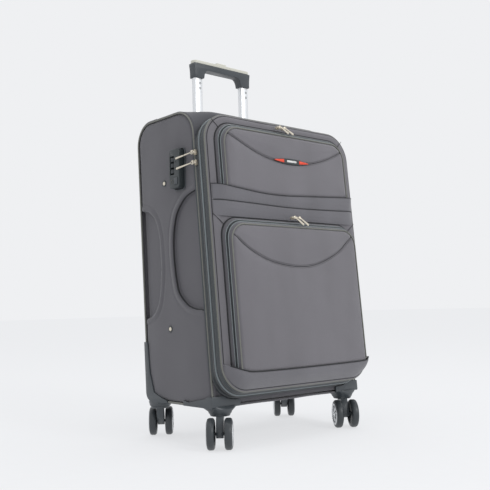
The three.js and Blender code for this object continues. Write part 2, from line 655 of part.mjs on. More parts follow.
// ---------------------------------------------------------------- assembly
suitcase.add(lidFrame);
addShell();
addSides();
addLining();
addLid();
addPocket('upper_pocket_flap', UPPER_POCKET);
addPocket('lower_pocket_flap', LOWER_POCKET);
addPocketPulls('upper_pocket', UPPER_POCKET, [['left', -22, 1], ['right', -6, 0]], 26, 0.45);
addPocketPulls('lower_pocket', LOWER_POCKET, [['left', -8, 1], ['right', 8, 0]], 28, 0.55);
addMainZipSliders();
addLock();
addHandle();
addGrip();
addCarryHandle();
addGuards();
addCasters();

// The origin is on the floor under the middle of the whole case.
suitcase.updateMatrixWorld(true);
const bounds = new THREE.Box3().setFromObject(suitcase, true);
suitcase.position.set(-(bounds.min.x + bounds.max.x) / 2, -(bounds.min.y + bounds.max.y) / 2, -bounds.min.z);
suitcase.updateMatrixWorld(true);

export default suitcase;
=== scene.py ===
"""Looks for the softside suitcase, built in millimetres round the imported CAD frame."""

import math

import bpy
import numpy as np
from mathutils import Matrix, Vector


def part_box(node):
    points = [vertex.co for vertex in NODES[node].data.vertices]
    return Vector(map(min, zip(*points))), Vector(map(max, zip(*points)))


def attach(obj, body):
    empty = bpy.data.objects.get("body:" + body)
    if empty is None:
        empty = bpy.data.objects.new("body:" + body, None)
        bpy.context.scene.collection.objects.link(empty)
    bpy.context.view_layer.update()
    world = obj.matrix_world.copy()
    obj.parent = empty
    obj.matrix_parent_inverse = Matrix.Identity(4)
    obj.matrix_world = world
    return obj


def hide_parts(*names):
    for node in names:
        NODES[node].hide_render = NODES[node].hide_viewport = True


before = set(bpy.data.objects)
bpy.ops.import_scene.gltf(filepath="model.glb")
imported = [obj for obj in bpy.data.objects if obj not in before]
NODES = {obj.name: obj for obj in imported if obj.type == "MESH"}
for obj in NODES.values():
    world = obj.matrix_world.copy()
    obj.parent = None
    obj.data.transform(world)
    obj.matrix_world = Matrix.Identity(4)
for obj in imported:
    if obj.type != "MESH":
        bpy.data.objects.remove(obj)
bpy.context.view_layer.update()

# ------------------------------------------------------------------ driving dimensions (mm)
MM = 0.001
TUBE_Y = 123.0                                   # handle tubes, which give the drawing's origin
TUBE_X = 69.0
TUBE_HOLE = (14.0, 10.0)                         # half the hole each middle tube slides through
HALF_WIDTH = 205.0
BODY_BOTTOM, BODY_TOP = 80.0, 671.0
SEAM_LEAN = math.radians(4.8)                    # the opening leans back
SEAM_FOOT_Y = -88.0
REAR_LEAN = math.radians(2.7)
REAR_FOOT_Y = 134.0
TOP_FRONT_RADIUS, TOP_REAR_RADIUS, BOTTOM_REAR_RADIUS = 55.0, 45.0, 15.0
TOP_MIDDLE_RADIUS = 16.0                         # top front radius between the shoulders
SHOULDER_X = 140.0
TOP_SPLIT_Y = 95.0                               # the back panel wraps over to here
BACK_SPLIT_Z = 108.0
SIDE_X = 205.0                                   # face of the raised side padding
SIDE_BACK_X = 194.3
RECESS_DEPTH = 8.0

LID_TOP, LID_BOTTOM, LID_SEAM_BOTTOM = 655.0, 104.0, 91.0
LID_RADIUS = 58.0
LID_DEPTH = 38.0
PANEL_HALF = 207.0
UPPER = dict(bottom=501.0, top=638.0, face_top=625.0, base_half=187.0, face_half=173.0,
             proud=18.0, radius=42.0)
LOWER = dict(bottom=147.0, top=444.0, face_top=427.0, base_half=187.0, face_half=177.0,
             proud=24.0, radius=40.0)
FACE_BASE_W = 42.6                               # where pockets and bands stand on the lid's front

PIPING_RADIUS = 1.7
CASTER_TURN = {"front_left": 228, "front_right": 236, "rear_left": 52, "rear_right": 50}  # degrees
WHEEL_RADIUS, WHEEL_WIDTH = 30.0, 15.0

SIDES = (("left", -1), ("right", 1))
ACROSS, UPWARD = (1, 0, 0), (0, 0, 1)


# ------------------------------------------------------------------ frames of reference
def node_box(name):
    """A CAD node's lowest and highest corners, in row millimetres."""
    return [np.array(corner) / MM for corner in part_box(name)]


TUBES_MIDDLE = sum(node_box("handle_guide_tube_left") + node_box("handle_guide_tube_right")) / 4
TO_ROW = np.array([TUBES_MIDDLE[0], TUBES_MIDDLE[1] - TUBE_Y, 0.0])


def drawn_box(name):
    """The same box in drawing millimetres."""
    return [corner - TO_ROW for corner in node_box(name)]


def to_row(points):
    """Drawing millimetres to metres in the row frame."""
    return (np.asarray(points, float) + TO_ROW) * MM


def on_lid(x, v, w):
    """A point x across, v up the opening's plane and w out of it, in drawing millimetres."""
    x, v, w = np.broadcast_arrays(np.asarray(x, float), v, w)
    y = SEAM_FOOT_Y + v * math.sin(SEAM_LEAN) - w * math.cos(SEAM_LEAN)
    z = v * math.cos(SEAM_LEAN) + w * math.sin(SEAM_LEAN)
    return np.stack([x, y, z], -1)


LID_OUT = on_lid(0, 0, 1) - on_lid(0, 0, 0)
LID_UP = on_lid(0, 1, 0) - on_lid(0, 0, 0)


def seam_y(z):
    """Where the leaning opening is at a height."""
    return SEAM_FOOT_Y + z * math.tan(SEAM_LEAN)


def rear_y(z):
    """Where the leaning back is at a height."""
    return REAR_FOOT_Y + z * math.tan(REAR_LEAN)


# ------------------------------------------------------------------ plain geometry
def unit(vectors):
    vectors = np.asarray(vectors, float)
    return vectors / np.maximum(np.linalg.norm(vectors, axis=-1, keepdims=True), 1e-9)


def grid(points, wrap_rows=False, wrap_columns=False):
    """A quad mesh over points[row, column]."""
    rows, columns = points.shape[:2]
    faces = []
    for r in range(rows if wrap_rows else rows - 1):
        for c in range(columns if wrap_columns else columns - 1):
            next_r, next_c = (r + 1) % rows, (c + 1) % columns
            here, below = r * columns, next_r * columns
            faces.append((here + c, here + next_c, below + next_c, below + c))
    return points.reshape(-1, 3), faces


def resample(path, step, closed=False, count=None):
    """Evenly spaced points along a path, by step or by count."""
    path = np.asarray(path, float)
    if closed:
        path = np.vstack([path, path[:1]])
    along = np.concatenate([[0], np.cumsum(np.linalg.norm(np.diff(path, axis=0), axis=1))])
    count = count or max(3, int(round(along[-1] / step)))
    places = np.linspace(0, along[-1], count + 1)
    if closed:
        places = places[:-1]
    return np.stack([np.interp(places, along, path[:, k]) for k in range(path.shape[1])], -1)


def smooth(points, each=12):
    """A Catmull-Rom curve through the points."""
    points = np.asarray(points, float)
    ends = np.vstack([2 * points[0] - points[1], points, 2 * points[-1] - points[-2]])
    t = np.linspace(0, 1, each, endpoint=False)[:, None]
    made = []
    for a, b, c, d in zip(ends, ends[1:], ends[2:], ends[3:]):
        squares, cubes = 2 * a - 5 * b + 4 * c - d, 3 * b - a - 3 * c + d
        made.append(0.5 * (2 * b + (c - a) * t + squares * t**2 + cubes * t**3))
    return np.vstack([*made, points[-1:]])


def directions(path, up, closed):
    """Unit vectors ahead, to the side and up at each point of a path."""
    ahead = np.roll(path, -1, 0) - np.roll(path, 1, 0)
    if not closed:
        ahead[0], ahead[-1] = path[1] - path[0], path[-1] - path[-2]
    ahead = unit(ahead)
    side = unit(np.cross(ahead, np.broadcast_to(up, ahead.shape)))
    return ahead, side, np.cross(side, ahead)


def sweep(path, section, up, closed=False, hollow=False):
    """A section of (side, up) offsets carried along a path."""
    _, side, top = directions(path, up, closed)
    section = np.asarray(section, float)
    points = path[:, None] + section[None, :, :1] * side[:, None] + section[None, :, 1:] * top[:, None]
    made, faces = grid(points, closed, not hollow)
    if not closed and not hollow:
        count = len(section)
        faces.append(tuple(range(count)))
        faces.append(tuple(reversed(range(len(made) - count, len(made)))))
    return made, faces


def circle(radius, sides=8, flat=1.0):
    turns = np.linspace(0, 2 * math.pi, sides, endpoint=False)
    return np.stack([radius * np.cos(turns), radius * flat * np.sin(turns)], -1)


def beads(path, up, pitch, size, sway=0.0, lift=0.0, closed=False):
    """Small blocks along a path, such as zip teeth or stitches. Size is (along, across, high)."""
    places = resample(path, pitch, closed)
    ahead, side, top = directions(places, up, closed)
    signs = np.array([(a, b, c) for a in (-1, 1) for b in (-1, 1) for c in (-1, 1)], float) / 2
    swing = np.where(np.arange(len(places)) % 2 == 0, sway, -sway)[:, None]
    centres = places + side * swing + top * lift
    corners = (centres[:, None]
               + signs[None, :, :1] * size[0] * ahead[:, None]
               + signs[None, :, 1:2] * size[1] * side[:, None]
               + signs[None, :, 2:] * size[2] * top[:, None])
    block = [(0, 1, 3, 2), (4, 6, 7, 5), (0, 4, 5, 1), (2, 3, 7, 6), (0, 2, 6, 4), (1, 5, 7, 3)]
    faces = [tuple(8 * i + k for k in face) for i in range(len(places)) for face in block]
    return corners.reshape(-1, 3), faces


def lathe(profile, steps=48):
    """A profile of (radius, height) turned about +Z."""
    turns = np.linspace(0, 2 * math.pi, steps, endpoint=False)
    profile = np.asarray(profile, float)
    points = np.stack([
        profile[:, None, 0] * np.cos(turns), profile[:, None, 0] * np.sin(turns),
        np.repeat(profile[:, 1:], steps, 1)], -1)
    return grid(points, False, True)


def prism(outline, low, high):
    """An outline in X and Y between two heights."""
    outline = np.asarray(outline, float)
    count = len(outline)
    ring = [np.column_stack([outline, np.full(count, z)]) for z in (low, high)]
    faces = [(i, (i + 1) % count, count + (i + 1) % count, count + i) for i in range(count)]
    faces += [tuple(reversed(range(count))), tuple(range(count, 2 * count))]
    return np.vstack(ring), faces


def placed(part, origin, x_axis, y_axis):
    """A part made at the origin, moved so that its X and Y lie along two axes."""
    x_axis, y_axis = unit(x_axis), unit(y_axis)
    basis = np.stack([x_axis, y_axis, np.cross(x_axis, y_axis)])
    return np.asarray(part[0]) @ basis + np.asarray(origin, float), part[1]


def together(parts):
    points, faces, count = [], [], 0
    for part_points, part_faces in parts:
        points.append(part_points)
        faces += [tuple(i + count for i in face) for face in part_faces]
        count += len(part_points)
    return np.vstack(points), faces


def rounded_corners(corners, radii, steps=8):
    """A closed outline with rounded corners; corners run anticlockwise."""
    corners = np.asarray(corners, float)
    made = []
    for i, (here, radius) in enumerate(zip(corners, radii)):
        if radius <= 0:
            made.append(here)
            continue
        back, ahead = unit(corners[i - 1] - here), unit(corners[(i + 1) % len(corners)] - here)
        half = math.acos(np.clip(back @ ahead, -1, 1)) / 2
        centre = here + unit(back + ahead) * radius / math.sin(half)
        start = here + back * radius / math.tan(half) - centre
        for step in range(steps + 1):
            turn = (math.pi - 2 * half) * step / steps
            c, s = math.cos(turn), math.sin(turn)
            made.append(centre + [start[0] * c - start[1] * s, start[0] * s + start[1] * c])
    return np.array(made)


def rounded_box(left, right, low, high, radius, steps=8):
    """A rounded rectangle."""
    return rounded_corners([(left, low), (right, low), (right, high), (left, high)], [radius] * 4, steps)


def distance_to(points, path):
    """The distance of each 2-D point from a polyline."""
    points = np.asarray(points, float)
    best = np.full(points.shape[:-1], 1e9)
    for a, b in zip(path, path[1:]):
        along = b - a
        t = np.clip(((points - a) @ along) / max(along @ along, 1e-9), 0, 1)
        best = np.minimum(best, np.linalg.norm(points - a - t[..., None] * along, axis=-1))
    return best


def inside(points, loop):
    """True where a 2-D point is inside a closed loop."""
    hits = np.zeros(points.shape[:-1], bool)
    for (ax, ay), (bx, by) in zip(loop, np.roll(loop, -1, 0)):
        crosses = (ay > points[..., 1]) != (by > points[..., 1])
        at = ax + (points[..., 1] - ay) * (bx - ax) / (by - ay if by != ay else 1e-9)
        hits ^= crosses & (points[..., 0] < at)
    return hits


def ripples(a, b, size, seed=0):
    """Smooth unevenness of about unit height, from a fixed sum of waves."""
    rng = np.random.default_rng(seed)
    total = np.zeros(np.broadcast(a, b).shape)
    for _ in range(9):
        angle, phase = rng.uniform(0, 2 * math.pi, 2)
        wave = size * rng.uniform(0.6, 1.8)
        total += np.sin((a * math.cos(angle) + b * math.sin(angle)) * 2 * math.pi / wave + phase)
    return total / 4.5


# ------------------------------------------------------------------ materials
def srgb(red, green, blue):
    made = []
    for level in (red, green, blue):
        level /= 255
        made.append(level / 12.92 if level <= 0.04045 else ((level + 0.055) / 1.055) ** 2.4)
    return (*made, 1.0)


class Finish:
    """One material, with short calls that add and wire its nodes."""

    def __init__(self, name, roughness, metallic=0.0, **sockets):
        self.material = bpy.data.materials.new(name)
        self.material.use_nodes = True
        self.tree = self.material.node_tree
        self.shader = self.tree.nodes["Principled BSDF"]
        self.shader.inputs["Roughness"].default_value = roughness
        self.shader.inputs["Metallic"].default_value = metallic
        for socket, value in sockets.items():
            self.shader.inputs[socket.replace("_", " ")].default_value = value
        self.place = self.node("ShaderNodeTexCoord").outputs["Object"]

    def node(self, kind, inputs=None, **settings):
        made = self.tree.nodes.new(kind)
        for setting, value in settings.items():
            setattr(made, setting, value)
        for socket, value in (inputs or {}).items():
            if isinstance(value, bpy.types.NodeSocket):
                self.tree.links.new(value, made.inputs[socket])
            else:
                made.inputs[socket].default_value = value
        return made

    def noise(self, scale, detail=3.0, stretch=(1, 1, 1)):
        moved = self.node("ShaderNodeMapping", {"Vector": self.place, "Scale": stretch})
        return self.node("ShaderNodeTexNoise", {
            "Vector": moved.outputs[0], "Scale": scale, "Detail": detail}).outputs["Fac"]

    def bands(self, period, axis="Z", turn=0.0):
        """Waves of one period in metres along an axis."""
        moved = self.node("ShaderNodeMapping", {"Vector": self.place, "Rotation": (0, 0, turn)})
        return self.node("ShaderNodeTexWave", {
            "Vector": moved.outputs[0], "Scale": math.pi / 10 / period, "Distortion": 0.6},
            bands_direction=axis).outputs["Fac"]

    def math(self, operation, a, b=0.0):
        return self.node("ShaderNodeMath", {0: a, 1: b}, operation=operation).outputs[0]

    def spread(self, value, low, high):
        """A 0 to 1 value mapped to a range."""
        return self.node("ShaderNodeMapRange", {"Value": value, "To Min": low, "To Max": high}).outputs[0]

    def blend(self, factor, dark, light):
        made = self.node("ShaderNodeMix", {"Factor": factor}, data_type="RGBA")
        for socket, value in ((made.inputs[6], dark), (made.inputs[7], light)):
            if isinstance(value, bpy.types.NodeSocket):
                self.tree.links.new(value, socket)
            else:
                socket.default_value = value
        return made.outputs[2]

    def colour(self, socket):
        self.tree.links.new(socket, self.shader.inputs["Base Color"])

    def rough(self, socket):
        self.tree.links.new(socket, self.shader.inputs["Roughness"])

    def bump(self, height, distance, strength=1.0):
        made = self.node("ShaderNodeBump", {"Height": height, "Distance": distance, "Strength": strength})
        self.tree.links.new(made.outputs[0], self.shader.inputs["Normal"])


def shade(colour, factor):
    return (*(min(1.0, c * factor) for c in colour[:3]), 1.0)


def fabric(name, colour, thread, sheen=0.35, relief=0.00022):
    """Woven polyester: crossed threads and slubs along the weft, with slow vertical streaks of painted sheen
    and fold shade.
    """
    made = Finish(name, 0.8, Sheen_Weight=sheen, Sheen_Roughness=0.45)
    weft = made.bands(thread, "Z")
    warp = made.bands(thread * 1.15, "X", math.pi / 4)
    weave = made.math("MULTIPLY", weft, warp)
    slubs = made.noise(420, 2, (1, 1, 9))
    cloud = made.noise(7, 4)
    tone = made.math("ADD", made.math("MULTIPLY", weave, 0.3), made.math("MULTIPLY", slubs, 0.7))
    woven = made.blend(tone, shade(colour, 0.72), shade(colour, 1.26))
    # Painted sheen and fold shade: long vertical streaks of lighter and darker colour, mixed in by the slow
    # cloud noise.
    sheen_streak_noise = made.noise(9, 2, (1.6, 1.6, 0.35))
    painted_sheen_and_fold_shade = made.blend(made.spread(sheen_streak_noise, -0.6, 1.6), shade(colour, 0.82), shade(colour, 1.2))
    made.colour(made.blend(made.math("MULTIPLY", cloud, 0.8), woven, painted_sheen_and_fold_shade))
    made.rough(made.spread(slubs, 0.68, 0.92))
    made.bump(made.math("ADD", weave, slubs), relief)
    return made.material


def plastic(name, colour, roughness, grain=900, scuff=0.1):
    """Moulded plastic: fine spark-eroded grain and faint scuffs."""
    made = Finish(name, roughness)
    fine = made.noise(grain, 3)
    marks = made.noise(26, 6, (1, 1, 2.5))
    worn = made.math("POWER", marks, 3.0)
    made.colour(made.blend(made.math("MULTIPLY", worn, scuff * 4), colour, shade(colour, 1.5)))
    made.rough(made.spread(marks, roughness - 0.1, roughness + 0.16))
    made.bump(fine, 0.00006)
    return made.material


def metal(name, colour, roughness, along="Z", scratch=1.0):
    """Drawn or plated metal: fine lines along one axis."""
    made = Finish(name, roughness, 1.0)
    stretch = {"Z": (1, 1, 0.02), "none": (1, 1, 1)}[along]
    lines = made.noise(1400, 4, stretch)
    cloud = made.noise(30, 3)
    made.colour(made.blend(lines, shade(colour, 0.88), colour))
    made.rough(made.spread(made.math("ADD", lines, cloud), roughness - 0.08, roughness + 0.12))
    made.bump(lines, 0.00002 * scratch)
    return made.material


FABRIC = fabric("BodyFabric", srgb(88, 87, 92), 0.0011)
FRONT_FABRIC = fabric("FrontFabric", srgb(105, 103, 108), 0.0011, 0.4)
BAND_FABRIC = fabric("BandFabric", srgb(104, 103, 108), 0.0011, 0.35)
LINING = fabric("Lining", srgb(70, 71, 76), 0.0016, 0.2, 0.0001)
TAPE = fabric("ZipTape", srgb(68, 73, 76), 0.0014, 0.2)
PIPING = fabric("Piping", srgb(114, 115, 109), 0.0009, 0.3)
# Pale binding on the lid; on the pockets the same colour is painted reflection along the zip tape.
PALE_BINDING_AND_PAINTED_SHINE = fabric("EdgeBindingAndPaintedShine", srgb(126, 134, 137), 0.0009, 0.3)
DARK_SEAM = fabric("SeamThread", srgb(30, 31, 34), 0.0006, 0.1)
WEBBING = fabric("Webbing", srgb(72, 73, 78), 0.0026, 0.2, 0.0005)
STITCH = fabric("Stitching", srgb(132, 131, 134), 0.0005, 0.2)
TEETH = plastic("ZipTeeth", srgb(60, 64, 66), 0.35)
PLASTIC = plastic("DarkPlastic", srgb(62, 67, 71), 0.32)
GLOSS_PLASTIC = plastic("LockPlastic", srgb(46, 52, 54), 0.3)
PALE_PLASTIC = plastic("PalePlastic", srgb(196, 195, 184), 0.35)
RED = plastic("BadgeRed", srgb(222, 66, 36), 0.35)
BADGE_PALE = plastic("BadgePale", srgb(214, 214, 212), 0.4)
TYRE = plastic("Tyre", srgb(54, 58, 61), 0.36)
ALUMINIUM = metal("Aluminium", srgb(236, 238, 240), 0.3)
NICKEL = metal("Nickel", srgb(224, 216, 200), 0.24, "none")
RIM_SILVER = metal("RimSilver", srgb(222, 224, 226), 0.3, "none")


# ------------------------------------------------------------------ pieces
def piece(name, parts, body, slot, finish, replaces=(), bevel=0.0, smooth_faces=True, wall=0.0,
          inner=None, fill=None):
    """One named mesh made of parts in drawing millimetres, riding on a CAD body."""
    parts = parts if isinstance(parts, list) else [parts]
    points, faces = together(parts)
    mesh = bpy.data.meshes.new(name)
    mesh.from_pydata(to_row(points).tolist(), [], faces)
    mesh.update()
    mesh.materials.append(finish)
    mesh.polygons.foreach_set("use_smooth", [smooth_faces] * len(mesh.polygons))
    made = bpy.data.objects.new(name, mesh)
    bpy.context.scene.collection.objects.link(made)
    if bevel:
        soften(made, bevel)
    if wall:
        if inner:
            mesh.materials.append(inner)
        thicken = made.modifiers.new("Wall", "SOLIDIFY")
        thicken.thickness = wall * MM
        thicken.offset = -1
        thicken.material_offset = 1 if inner else 0
    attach(made, body)
    if replaces:
        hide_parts(*replaces)
    return made


def soften(made, width, segments=3):
    """Rounds the edges of a hard piece."""
    rounding = made.modifiers.new("Edges", "BEVEL")
    rounding.width = width * MM
    rounding.segments = segments
    rounding.limit_method = "ANGLE"
    rounding.angle_limit = math.radians(32)
    rounding.harden_normals = True


def keep_cad(node, finish, bevel=0.0):
    """A CAD node whose shape is right, with a better material and rounded edges."""
    made = NODES[node]
    made.data.materials.clear()
    made.data.materials.append(finish)
    made.data.polygons.foreach_set("use_smooth", [True] * len(made.data.polygons))
    crease = made.modifiers.new("Creases", "EDGE_SPLIT")
    crease.split_angle = math.radians(35)
    if bevel:
        made.modifiers.remove(crease)
        weld = made.modifiers.new("Weld", "WELD")
        weld.merge_threshold = 0.01 * MM
        soften(made, bevel)
    return made


def fabric_piece(name, parts, finish, **more):
    """A piece of the case's body cloth."""
    return piece(name, parts, "root", "body_fabric", finish, **more)


def front_piece(name, parts, finish=None, body="lid", **more):
    """A piece of the lid's or a pocket's front cloth; a seam unless a finish is given."""
    return piece(name, parts, body, "front_fabric", finish or DARK_SEAM, **more)


def tape_piece(name, parts, finish, body="lid", **more):
    """A piece of zip tape or of its edging."""
    return piece(name, parts, body, "zip_tape", finish, **more)


# ------------------------------------------------------------------ body shell
def body_corners():
    return [
        (seam_y(BODY_BOTTOM), BODY_BOTTOM), (rear_y(BODY_BOTTOM), BODY_BOTTOM),
        (rear_y(BODY_TOP), BODY_TOP), (seam_y(BODY_TOP), BODY_TOP),
    ]


def side_outline(inset=0.0, step=6.0):
    """The closed outline of the body seen from the side, as (y, z)."""
    corners = body_corners()
    middle = np.mean(corners, 0)
    corners = [np.array(c) + np.sign(middle - c) * inset for c in corners]
    radii = [4, BOTTOM_REAR_RADIUS - inset, TOP_REAR_RADIUS - inset, TOP_FRONT_RADIUS - inset]
    return resample(rounded_corners(corners, np.maximum(radii, 1)), step, True)


def shell_strip(front_radius, start, end, count):
    """The part of the body's outline from one (y, z) place to another, as (y, z) points."""
    radii = [1, BOTTOM_REAR_RADIUS, TOP_REAR_RADIUS, front_radius]
    loop = resample(rounded_corners(body_corners(), radii, 12), 1.5, True)
    first = np.argmin(np.linalg.norm(loop - start, axis=1))
    loop = np.roll(loop, -first, 0)
    last = np.argmin(np.linalg.norm(loop - end, axis=1))
    part = loop[: last + 1]
    return np.stack([np.interp(np.linspace(0, len(part) - 1, count), np.arange(len(part)), part[:, k])
                     for k in (0, 1)], -1)


def cut_for_tubes(part):
    """Drops the faces of a panel's top that the handle's tubes pass through, under the bezel."""
    points, faces = part
    kept = []
    for face in faces:
        corners = points[list(face)]
        low, high = corners.min(0), corners.max(0)
        clear_y = low[1] > TUBE_Y + TUBE_HOLE[1] or high[1] < TUBE_Y - TUBE_HOLE[1]
        clear_x = all(low[0] > x + TUBE_HOLE[0] or high[0] < x - TUBE_HOLE[0] for x in (-TUBE_X, TUBE_X))
        if clear_x or clear_y or high[2] < BODY_TOP - 20:
            kept.append(face)
    return points, kept


def shell_panel(name, replaces, start, end, count, swell=1.2, proud=0.0):
    """A fabric panel that runs across the case; without an end it stops under the front's top corner."""
    columns = []
    for x in np.linspace(-HALF_WIDTH + 1.5, HALF_WIDTH - 1.5, 83):
        share = np.clip((abs(x) - SHOULDER_X) / (HALF_WIDTH - SHOULDER_X), 0, 1)
        ease = share * share * (3 - 2 * share)
        radius = TOP_MIDDLE_RADIUS + (TOP_FRONT_RADIUS - TOP_MIDDLE_RADIUS) * ease
        corner_foot = BODY_TOP - 1.2 * radius
        strip = shell_strip(radius, start, end or (seam_y(corner_foot), corner_foot), count)
        along = np.gradient(strip, axis=0)
        out = unit(np.stack([along[:, 1], -along[:, 0]], -1))
        edge = np.minimum(HALF_WIDTH - abs(x), 40) / 40
        ends = np.minimum(np.arange(count), np.arange(count)[::-1]) / 6
        lift = proud + swell * edge * np.clip(ends, 0, 1)
        lift = lift + 0.45 * ripples(np.full(count, x), np.cumsum(np.hypot(*along.T)), 120, 3) * edge
        strip = strip + out * np.asarray(lift)[:, None]
        columns.append(np.column_stack([np.full(count, x), strip]))
    panel = cut_for_tubes(grid(np.array(columns)[::-1]))
    return piece(name, panel, "root", "body_fabric", FABRIC, replaces, wall=3.5, inner=LINING)


def build_shell():
    top_split, back_split = (TOP_SPLIT_Y, BODY_TOP), (rear_y(BACK_SPLIT_Z), BACK_SPLIT_Z)
    front_foot = (seam_y(BODY_BOTTOM) + 1, BODY_BOTTOM)
    shell_panel("top_panel_fabric", ["top_panel"], top_split, None, 40)
    shell_panel("back_panel_fabric", ["back_panel"], back_split, (TOP_SPLIT_Y - 3, BODY_TOP), 110, 2.0, 1.0)
    shell_panel("bottom_panel_fabric", ["bottom_panel"], front_foot, back_split, 60, 0.3)
    across = np.linspace(-HALF_WIDTH + 4, HALF_WIDTH - 4, 60)
    binding = np.column_stack([across, np.full(60, TOP_SPLIT_Y - 3), np.full(60, BODY_TOP + 1.0)])
    fabric_piece("back_panel_binding", sweep(binding, circle(2.0, 8, 0.6), UPWARD), DARK_SEAM)
    loop = side_outline(-0.6, 4)
    for side, sign in SIDES:
        path = np.column_stack([np.full(len(loop), sign * (HALF_WIDTH - 1)), loop])
        fabric_piece(f"side_piping_{side}", sweep(path, circle(PIPING_RADIUS, 10), ACROSS, True), PIPING)
        sewn = path * [1, 0.994, 1] - [sign * 3.52, 0, 0]     # on the panels, just inside the piping
        fabric_piece(f"side_piping_stitches_{side}",
                     beads(sewn, ACROSS, 3.4, (2.3, 0.5, 0.5), closed=True), DARK_SEAM)


def build_border():
    """The strip of the body's front round the opening, in the plane of the zip."""
    rows = []
    for inset, w in ((-0.5, -4.0), (0.0, -1.0), (2.0, 0.0), (12.0, 0.0), (14.0, -1.5), (14.0, -14.0)):
        loop = lid_loop(inset, 0.0)
        rows.append(on_lid(loop[:, 0], loop[:, 1], w))
    fabric_piece("front_border_fabric", grid(np.array(rows)[::-1], False, True), TAPE,
                 replaces=["front_border"])
    outer = rounded_loop(HALF_WIDTH - 3, BODY_BOTTOM + 3, 640, 20)
    inner = rounded_loop(192, 104, 642, 46)
    backing = [on_lid(*outer.T, -3.2), on_lid(*inner.T, -2.6)]
    fabric_piece("front_border_backing", grid(np.array(backing), False, True), FABRIC, wall=2.0)


# ------------------------------------------------------------------ side pads
FRONT_RECESS = [
    (-52, 505), (-36, 504), (-10, 496), (6, 485), (26, 462), (36, 430), (38, 395),
    (36, 355), (31, 328), (20, 300), (-6, 277), (-30, 268), (-64, 264),
]
REAR_RECESS = [
    (160, 483), (145, 481), (119, 473), (98, 452), (86, 420), (83, 394),
    (81, 365), (82, 341), (89, 290), (106, 262), (131, 251), (146, 248),
]
RIVETS = {"upper": (64, 531), "lower": (51, 228)}


def side_height(spots):
    """How far the side stands out at each (y, z): raised padding round two D-shaped hollows."""
    edge = distance_to(spots, np.vstack([side_outline(), side_outline()[:1]]))
    height = 2.2 * (1 - np.exp(-edge / 30)) - 3.6 * np.exp(-(edge / 4.5) ** 2)
    for curve in (smooth(FRONT_RECESS), smooth(REAR_RECESS)):
        away = math.copysign(400, curve[0, 0] - 40)
        loop = np.vstack([curve, [curve[-1, 0] + away, curve[-1, 1]], [curve[0, 0] + away, curve[0, 1]]])
        gap = distance_to(spots, curve)
        deep = np.where(inside(spots, loop), gap, -gap)
        step = np.clip(deep / 3.4 + 0.3, 0, 1)
        height -= RECESS_DEPTH * step * step * (3 - 2 * step)
        height += 1.3 * np.exp(-((deep + 5) / 5) ** 2)
        height -= 0.9 * np.exp(-((deep + 14) / 1.6) ** 2) * (deep < 0)
    height += 0.5 * ripples(spots[..., 0], spots[..., 1], 90, 11)
    puckers = np.sin(spots[..., 1] / 1.5 + 3 * np.sin(spots[..., 0] / 30))
    height += 0.22 * puckers * np.exp(-(edge / 7) ** 2)
    return height


def side_spots():
    """Rows of (y, z) that fill the outline of a side, closest together at its edges."""
    outline = side_outline(0.5, 2.0)
    levels = np.concatenate([np.linspace(BODY_BOTTOM + 2.5, 104, 9), np.linspace(107, 640, 200),
                             np.linspace(642, BODY_TOP - 1.4, 22)])
    share = (1 - np.cos(np.linspace(0, math.pi, 110))) / 2 * 0.35 + np.linspace(0, 1, 110) * 0.65
    rows = []
    for z in levels:
        crossing = []
        for a, b in zip(outline, np.roll(outline, -1, 0)):
            if (a[1] - z) * (b[1] - z) <= 0 and a[1] != b[1]:
                crossing.append(a[0] + (z - a[1]) * (b[0] - a[0]) / (b[1] - a[1]))
        front, rear = min(crossing), max(crossing)
        rows.append(np.column_stack([front + (rear - front) * share, np.full(110, z)]))
    return np.array(rows)


def closed_pad(face, back):
    """A closed body between two grids that match, its four rims included."""
    rims = ((face[0], back[0]), (back[-1], face[-1]), (back[:, 0], face[:, 0]), (face[:, -1], back[:, -1]))
    return [grid(face[:, ::-1]), grid(back), *(grid(np.stack([deep, rim])) for rim, deep in rims)]


def build_sides():
    spots = side_spots()
    height = side_height(spots)
    for side, sign in SIDES:
        face = np.concatenate([(sign * (SIDE_X - 1 + height))[..., None], spots], -1)
        back = np.concatenate([np.full(height.shape, sign * SIDE_BACK_X)[..., None], spots], -1)
        turned = slice(None, None, -sign)
        pad = fabric_piece(f"side_pad_{side}", closed_pad(face[:, turned], back[:, turned]), FABRIC,
                           replaces=[f"side_panel_{side}"], fill=0.5)
        merge_doubles(pad)
        # Dark cords along the foot of each hollow's step: painted shadow of the step, widest at the front
        # hollow.
        for label, curve, thick in (("front", FRONT_RECESS, 1.9), ("rear", REAR_RECESS, 1.0)):
            line = resample(smooth(curve), 2.5)
            path = np.column_stack([sign * (SIDE_X - 2.4 + side_height(line)), line])
            fabric_piece(f"recess_shadow_cord_{label}_{side}", sweep(path, circle(thick, 6), ACROSS), DARK_SEAM)
        for label, (y, z) in RIVETS.items():
            build_rivet(f"{label}_{side}", sign, y, z)


def build_rivet(label, sign, y, z):
    """A bright domed rivet in a dark eyelet."""
    dome = lathe([(0, 2.6), (2.2, 2.3), (3.8, 1.3), (4.3, 0.4), (4.3, -0.6)], 32)
    eyelet = lathe([(4.2, 0.3), (5.0, 1.0), (6.4, 0.8), (7.4, 0.0), (7.4, -1.4)], 32)
    level = float(side_height(np.array([[y, z]]))[0])
    centre = (sign * (SIDE_X + level - 0.8), y, z)
    axes = ((0, sign, 0), UPWARD)
    piece(f"side_rivet_{label}", placed(dome, centre, *axes), "root", "nickel", NICKEL)
    piece(f"side_eyelet_{label}", placed(eyelet, centre, *axes), "root", "dark_plastic", GLOSS_PLASTIC)


def merge_doubles(made):
    """Joins a pad's face, back and rims where they meet."""
    weld = made.modifiers.new("Weld", "WELD")
    weld.merge_threshold = 0.05 * MM


# ------------------------------------------------------------------ lid
def rounded_loop(half, bottom, top, radius, count=420):
    """A closed outline as (x, v) from the bottom left, always with the same number of points."""
    corners = [(-half, bottom), (half, bottom), (half, top), (-half, top)]
    return resample(rounded_corners(corners, [max(radius, 2)] * 4, 14), 1, True, count)


